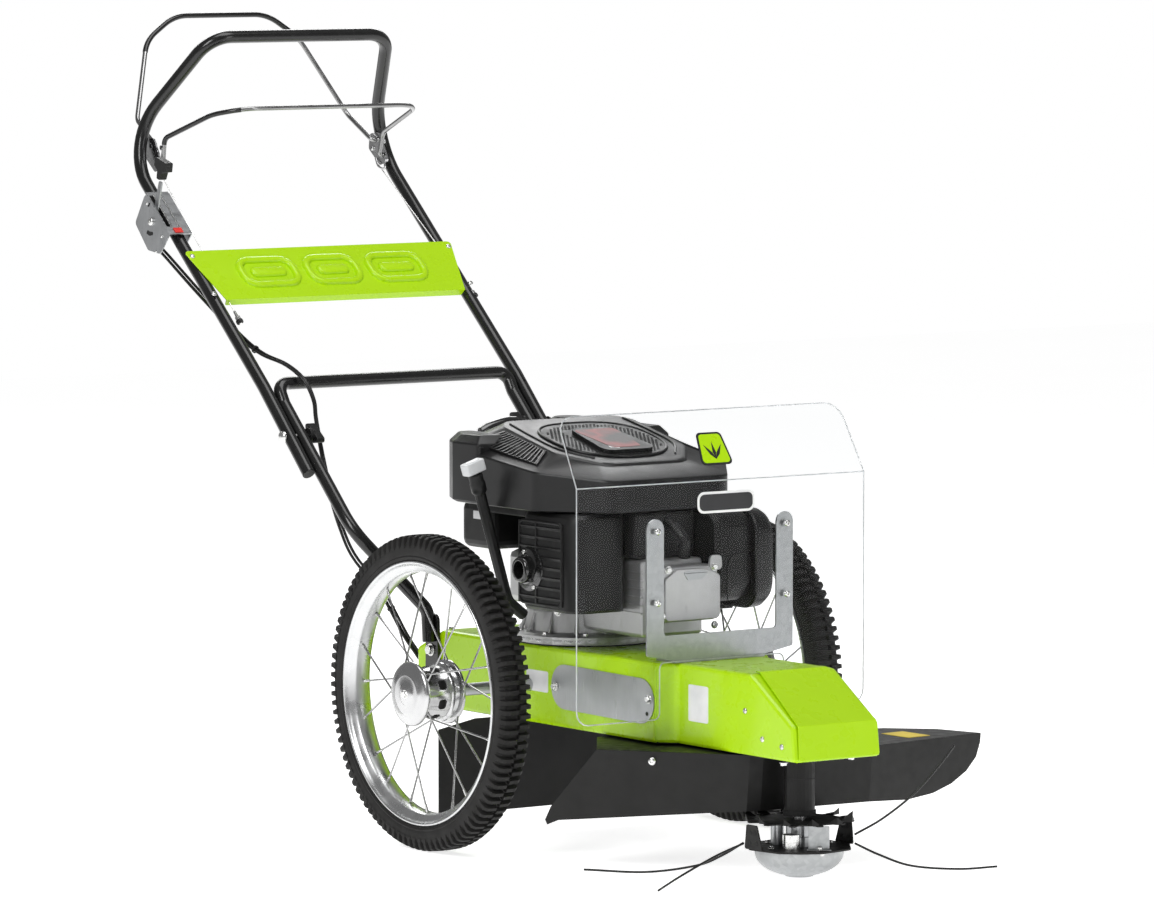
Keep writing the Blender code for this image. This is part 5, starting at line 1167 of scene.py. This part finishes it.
def build_controls():
    """The throttle quadrant on the right-hand tube, the bails in their brackets, and the pull wires."""
    repaint(PLATE, "control_box", "throttle_lever")
    repaint(PLASTIC, "throttle_knob")
    anchor = along_tube(0.4, 0.0)
    side = anchor + Vector((-0.2821, 0, 0))
    box = facing(side, RAIL, RAIL_UP)
    bolts = Shape("control_bolts")
    for u, v, size in ((0.004, -0.008, 0.007), (-0.036, -0.004, 0.0026), (0.034, 0.006, 0.0028),
            (-0.04, -0.036, 0.0022)):
        bolts.dome_bolt(box @ Vector((u, v, 0)), (-1, 0, 0), size)
    bolts.ride(BOLT, "handle")
    # Dark slabs on the control box: painted shade in its slots.
    slot = Shape("control_slot_shade")
    curve = [(0.002, -0.034), (-0.008, -0.03), (-0.014, -0.022), (-0.011, -0.018), (-0.004, -0.024),
        (0.003, -0.027)]
    slot.slab(rounded([(v, u) for u, v in reversed([(b, a) for a, b in curve])], 0.0016, 3), 0.0006, box)
    slot.slab(rounded([(0.027, 0.004), (0.03, 0.004), (0.03, 0.012), (0.027, 0.012)], 0.0012, 3), 0.0006, box)
    slot.ride(DEEP, "handle")
    rail = facing(anchor + Vector((-0.2593, 0, 0)), RAIL, RAIL_UP) @ shift(0, 0.017, 0)
    gate = Shape("throttle_gate")
    gate.block((-0.036, -0.0002, -0.0125), (0.044, 0.0014, -0.01), rail)
    gate.block((-0.036, -0.0002, 0.002), (0.044, 0.0014, 0.0045), rail)
    gate.ride(BOLT, "handle", 0.0003)
    mark = Shape("throttle_red_mark")
    mark.block((-0.049, 0.0, -0.0105), (-0.038, 0.0012, 0.006), rail)
    mark.ride(RED, "handle", 0.0003)

    bolts = Shape("bail_bracket_bolts")
    for way in (-1, 1):
        for y, z in ((0.926, 1.092), (0.962, 1.079)):
            bolts.dome_bolt(at(way * 0.2288, y, z), (-way, 0, 0), 0.0042)
        hook = ((0.227, 0.95, 1.062), (0.224, 0.936, 1.048), (0.2262, 0.921, 1.046), (0.228, 0.925, 1.06))
        bolts.sweep(flowing([at(way * x, y, z) for x, y, z in hook], 14), 0.0018, 8)
    bolts.ride(CHROME, "handle")
    repaint(CHROME, "bail_bracket_right", "bail_bracket_left")

    pivot = 0.233
    near = [(-pivot, 0.953, 1.094), (-0.221, 0.953, 1.094), (-0.216, 1.022, 1.136), (-0.156, 1.086, 1.27)]
    radii = [0.008, 0.03, 0.075, 0.085]
    path = bent(mirrored(near + [(-0.095, 1.093, 1.311)]), radii + radii[::-1], 9)
    Shape("brake_bail_wire").sweep(path, BAIL_WIRE, 16).ride(WIRE, "brake_bail", replaces=("brake_bail",))
    dark_span = [p for p in path if p.z > 1.15 and p.x - ORIGIN.x < 0.15]
    Shape("brake_bail_sleeve").sweep(dark_span, 0.0046, 16).ride(PIPE, "brake_bail")
    near = [(-pivot, 0.93, 1.068), (-0.2215, 0.93, 1.068), (-0.2235, 0.922, 1.108), (-0.205, 0.8, 1.152)]
    radii = [0.006, 0.018, 0.055, 0.06]
    path = bent(mirrored(near + [(-0.17, 0.758, 1.162)]), radii + radii[::-1], 9)
    Shape("drive_bail_wire").sweep(path, BAIL_WIRE, 16).ride(WIRE, "drive_bail", replaces=("drive_bail",))
    # A black stretch on the drive bail's left part: a painted dark reflection on its bare wire.
    dark_span = [p for p in path if p.x - ORIGIN.x < -0.165 and p.z > 1.075]
    Shape("drive_bail_dark_reflection").sweep(dark_span, 0.0044, 16).ride(PIPE, "drive_bail")

    wires, ends, clamps = Shape("pull_wires"), Shape("cable_adjusters"), Shape("cable_clamps")
    for start, end in (((-0.224, 0.938, 1.052), (-0.2375, 0.676, 0.8195)),
            ((0.224, 0.938, 1.052), (0.26, 0.708, 0.843))):
        wires.rod(at(*start), at(*end), 0.0009, 8)
        line = (at(*start) - at(*end)).normalized()
        foot = at(*end)
        ends.lathe([(0.003, -0.02), (0.003, -0.012), (0.0052, -0.011), (0.0052, -0.004), (0.0032, -0.003),
            (0.0024, 0.01)], towards(foot, line), 6)
        clamps.band(0.0062, 0.0034, -0.016, -0.012, towards(foot, line), 20)
    wires.ride(BOLT, "handle")
    ends.ride(BOLT, "handle", 0.0002)
    clamps.ride(PLASTIC, "handle")


def build_cables():
    """Three sheathed cables down the right-hand side, which curve round the fold, and one on the left tube.
    """
    upper = [(-0.273, 0.866, 0.927), (-0.262, 0.851, 0.9085), (-0.247, 0.778, 0.853),
        (-0.235, 0.669, 0.785), (-0.224, 0.617, 0.758)]
    upper += [(-0.206, 0.572, 0.742), (-0.194, 0.536, 0.718), (-0.187, 0.518, 0.685), (-0.186, 0.513, 0.653)]
    lower = [(-0.188, 0.49, 0.59), (-0.198, 0.45, 0.53), (-0.208, 0.405, 0.48), (-0.202, 0.376, 0.435)]
    lower += [(-0.162, 0.352, 0.375), (-0.124, 0.342, 0.305), (-0.104, 0.337, 0.275)]
    entry = at(-0.096, 0.3272, 0.26)
    lower += [(-0.099, 0.333, 0.265), (-0.096, 0.325, 0.26), (-0.096, 0.315, 0.259)]
    route = flowing(spots(upper + lower), 90)
    grommet = Shape("cable_grommet")
    grommet.hoop([(0.011, -0.0022), (0.0098, 0.0018), (0.0072, 0.0024), (0.0066, -0.0022)],
        towards(entry, (0, 1, 0)), 24)
    grommet.ride(DEEP)
    offsets = ((-0.0022, 0.0006, 0.0), (0.002, -0.0008, 0.0012), (0.0004, 0.0022, -0.0016))
    for k, ((x, y, z), names) in enumerate(zip(offsets, (("upper_cables",), ("lower_cables",), ()))):
        spread = [Vector((x, y, z)) * (1.0 + 0.55 * sin(0.11 * j + k)) for j in range(len(route))]
        strand = Shape(f"control_cable_{k + 1}")
        strand.sweep([p + off for p, off in zip(route, spread)], CABLE, 10)
        piece = strand.place(SHEATH)
        if names:
            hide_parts(*names)
        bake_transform(piece)
    for name, body, k in (("upper", "handle", 18), ("lower", "chassis", 66)):
        tie = Shape(f"{name}_cable_tie")
        tie.band(0.0066, 0.0052, -0.0018, 0.0018, towards(route[k], route[k + 1] - route[k - 1]), 24)
        tie.ride(DEEP, body)
    left = [(0.26, 0.699, 0.835), (0.26, 0.668, 0.809), (0.26, 0.6, 0.748), (0.256, 0.54, 0.699)]
    Shape("left_cable").sweep(flowing(spots(left), 20), CABLE, 10).ride(SHEATH, "handle")


# ---------------------------------------------------------------- studio
def build_studio():
    """A pale floor, a white wall for the camera over a dimmer room light, four soft lamps and the camera."""
    floor = Shape("studio_floor")
    floor.slab(card(FLOOR_HALF, FLOOR_HALF), 0.02, shift(0, 0, -0.0102))
    floor.place(floor_paint())

    world = bpy.data.worlds.new("studio")
    world.use_nodes = True
    tree = world.node_tree
    room = tree.nodes["Background"]
    wall = tree.nodes.new("ShaderNodeBackground")
    for backdrop in (room, wall):
        backdrop.inputs["Color"].default_value = (1.0, 1.0, 1.0, 1.0)
    room.inputs["Strength"].default_value = ROOM_LIGHT
    seen = tree.nodes.new("ShaderNodeLightPath")
    mix = tree.nodes.new("ShaderNodeMixShader")
    tree.links.new(seen.outputs["Is Camera Ray"], mix.inputs["Fac"])
    tree.links.new(room.outputs["Background"], mix.inputs[1])
    tree.links.new(wall.outputs["Background"], mix.inputs[2])
    tree.links.new(mix.outputs["Shader"], tree.nodes["World Output"].inputs["Surface"])
    bpy.context.scene.world = world

    aim = at(0.0, 0.0, 0.5)
    for name, place, size, power in LIGHTS:
        light = bpy.data.lights.new(name, "AREA")
        light.shape = "RECTANGLE"
        light.size, light.size_y = size
        light.energy = power
        lamp = show(bpy.data.objects.new(name, light))
        lamp.location = at(*place)
        lamp.rotation_euler = (aim - lamp.location).to_track_quat("-Z", "Y").to_euler()
    bpy.context.scene.view_settings.view_transform = "Standard"

    camera = bpy.data.cameras.new("camera")
    camera.sensor_width = 36.0
    camera.lens = CAMERA_LENS
    camera.clip_end = 60.0
    shot = show(bpy.data.objects.new("camera", camera))
    turn, rise = CAMERA_TURN, CAMERA_RISE
    back = Vector((sin(turn) * cos(rise), -cos(turn) * cos(rise), sin(rise)))
    right = Vector((cos(turn), sin(turn), 0.0))
    above = back.cross(right)
    pose = Matrix((right, above, back)).transposed().to_4x4()
    shot.matrix_world = Matrix.Translation(at(*CAMERA_PLACE)) @ pose
    bpy.context.scene.camera = shot


for wheel_side, wheel_label in ((-1, "right"), (1, "left")):
    build_wheel(wheel_side, wheel_label)
build_chassis()
build_screen()
build_head()
build_engine()
build_tubes()
build_panel()
build_controls()
build_cables()
build_studio()
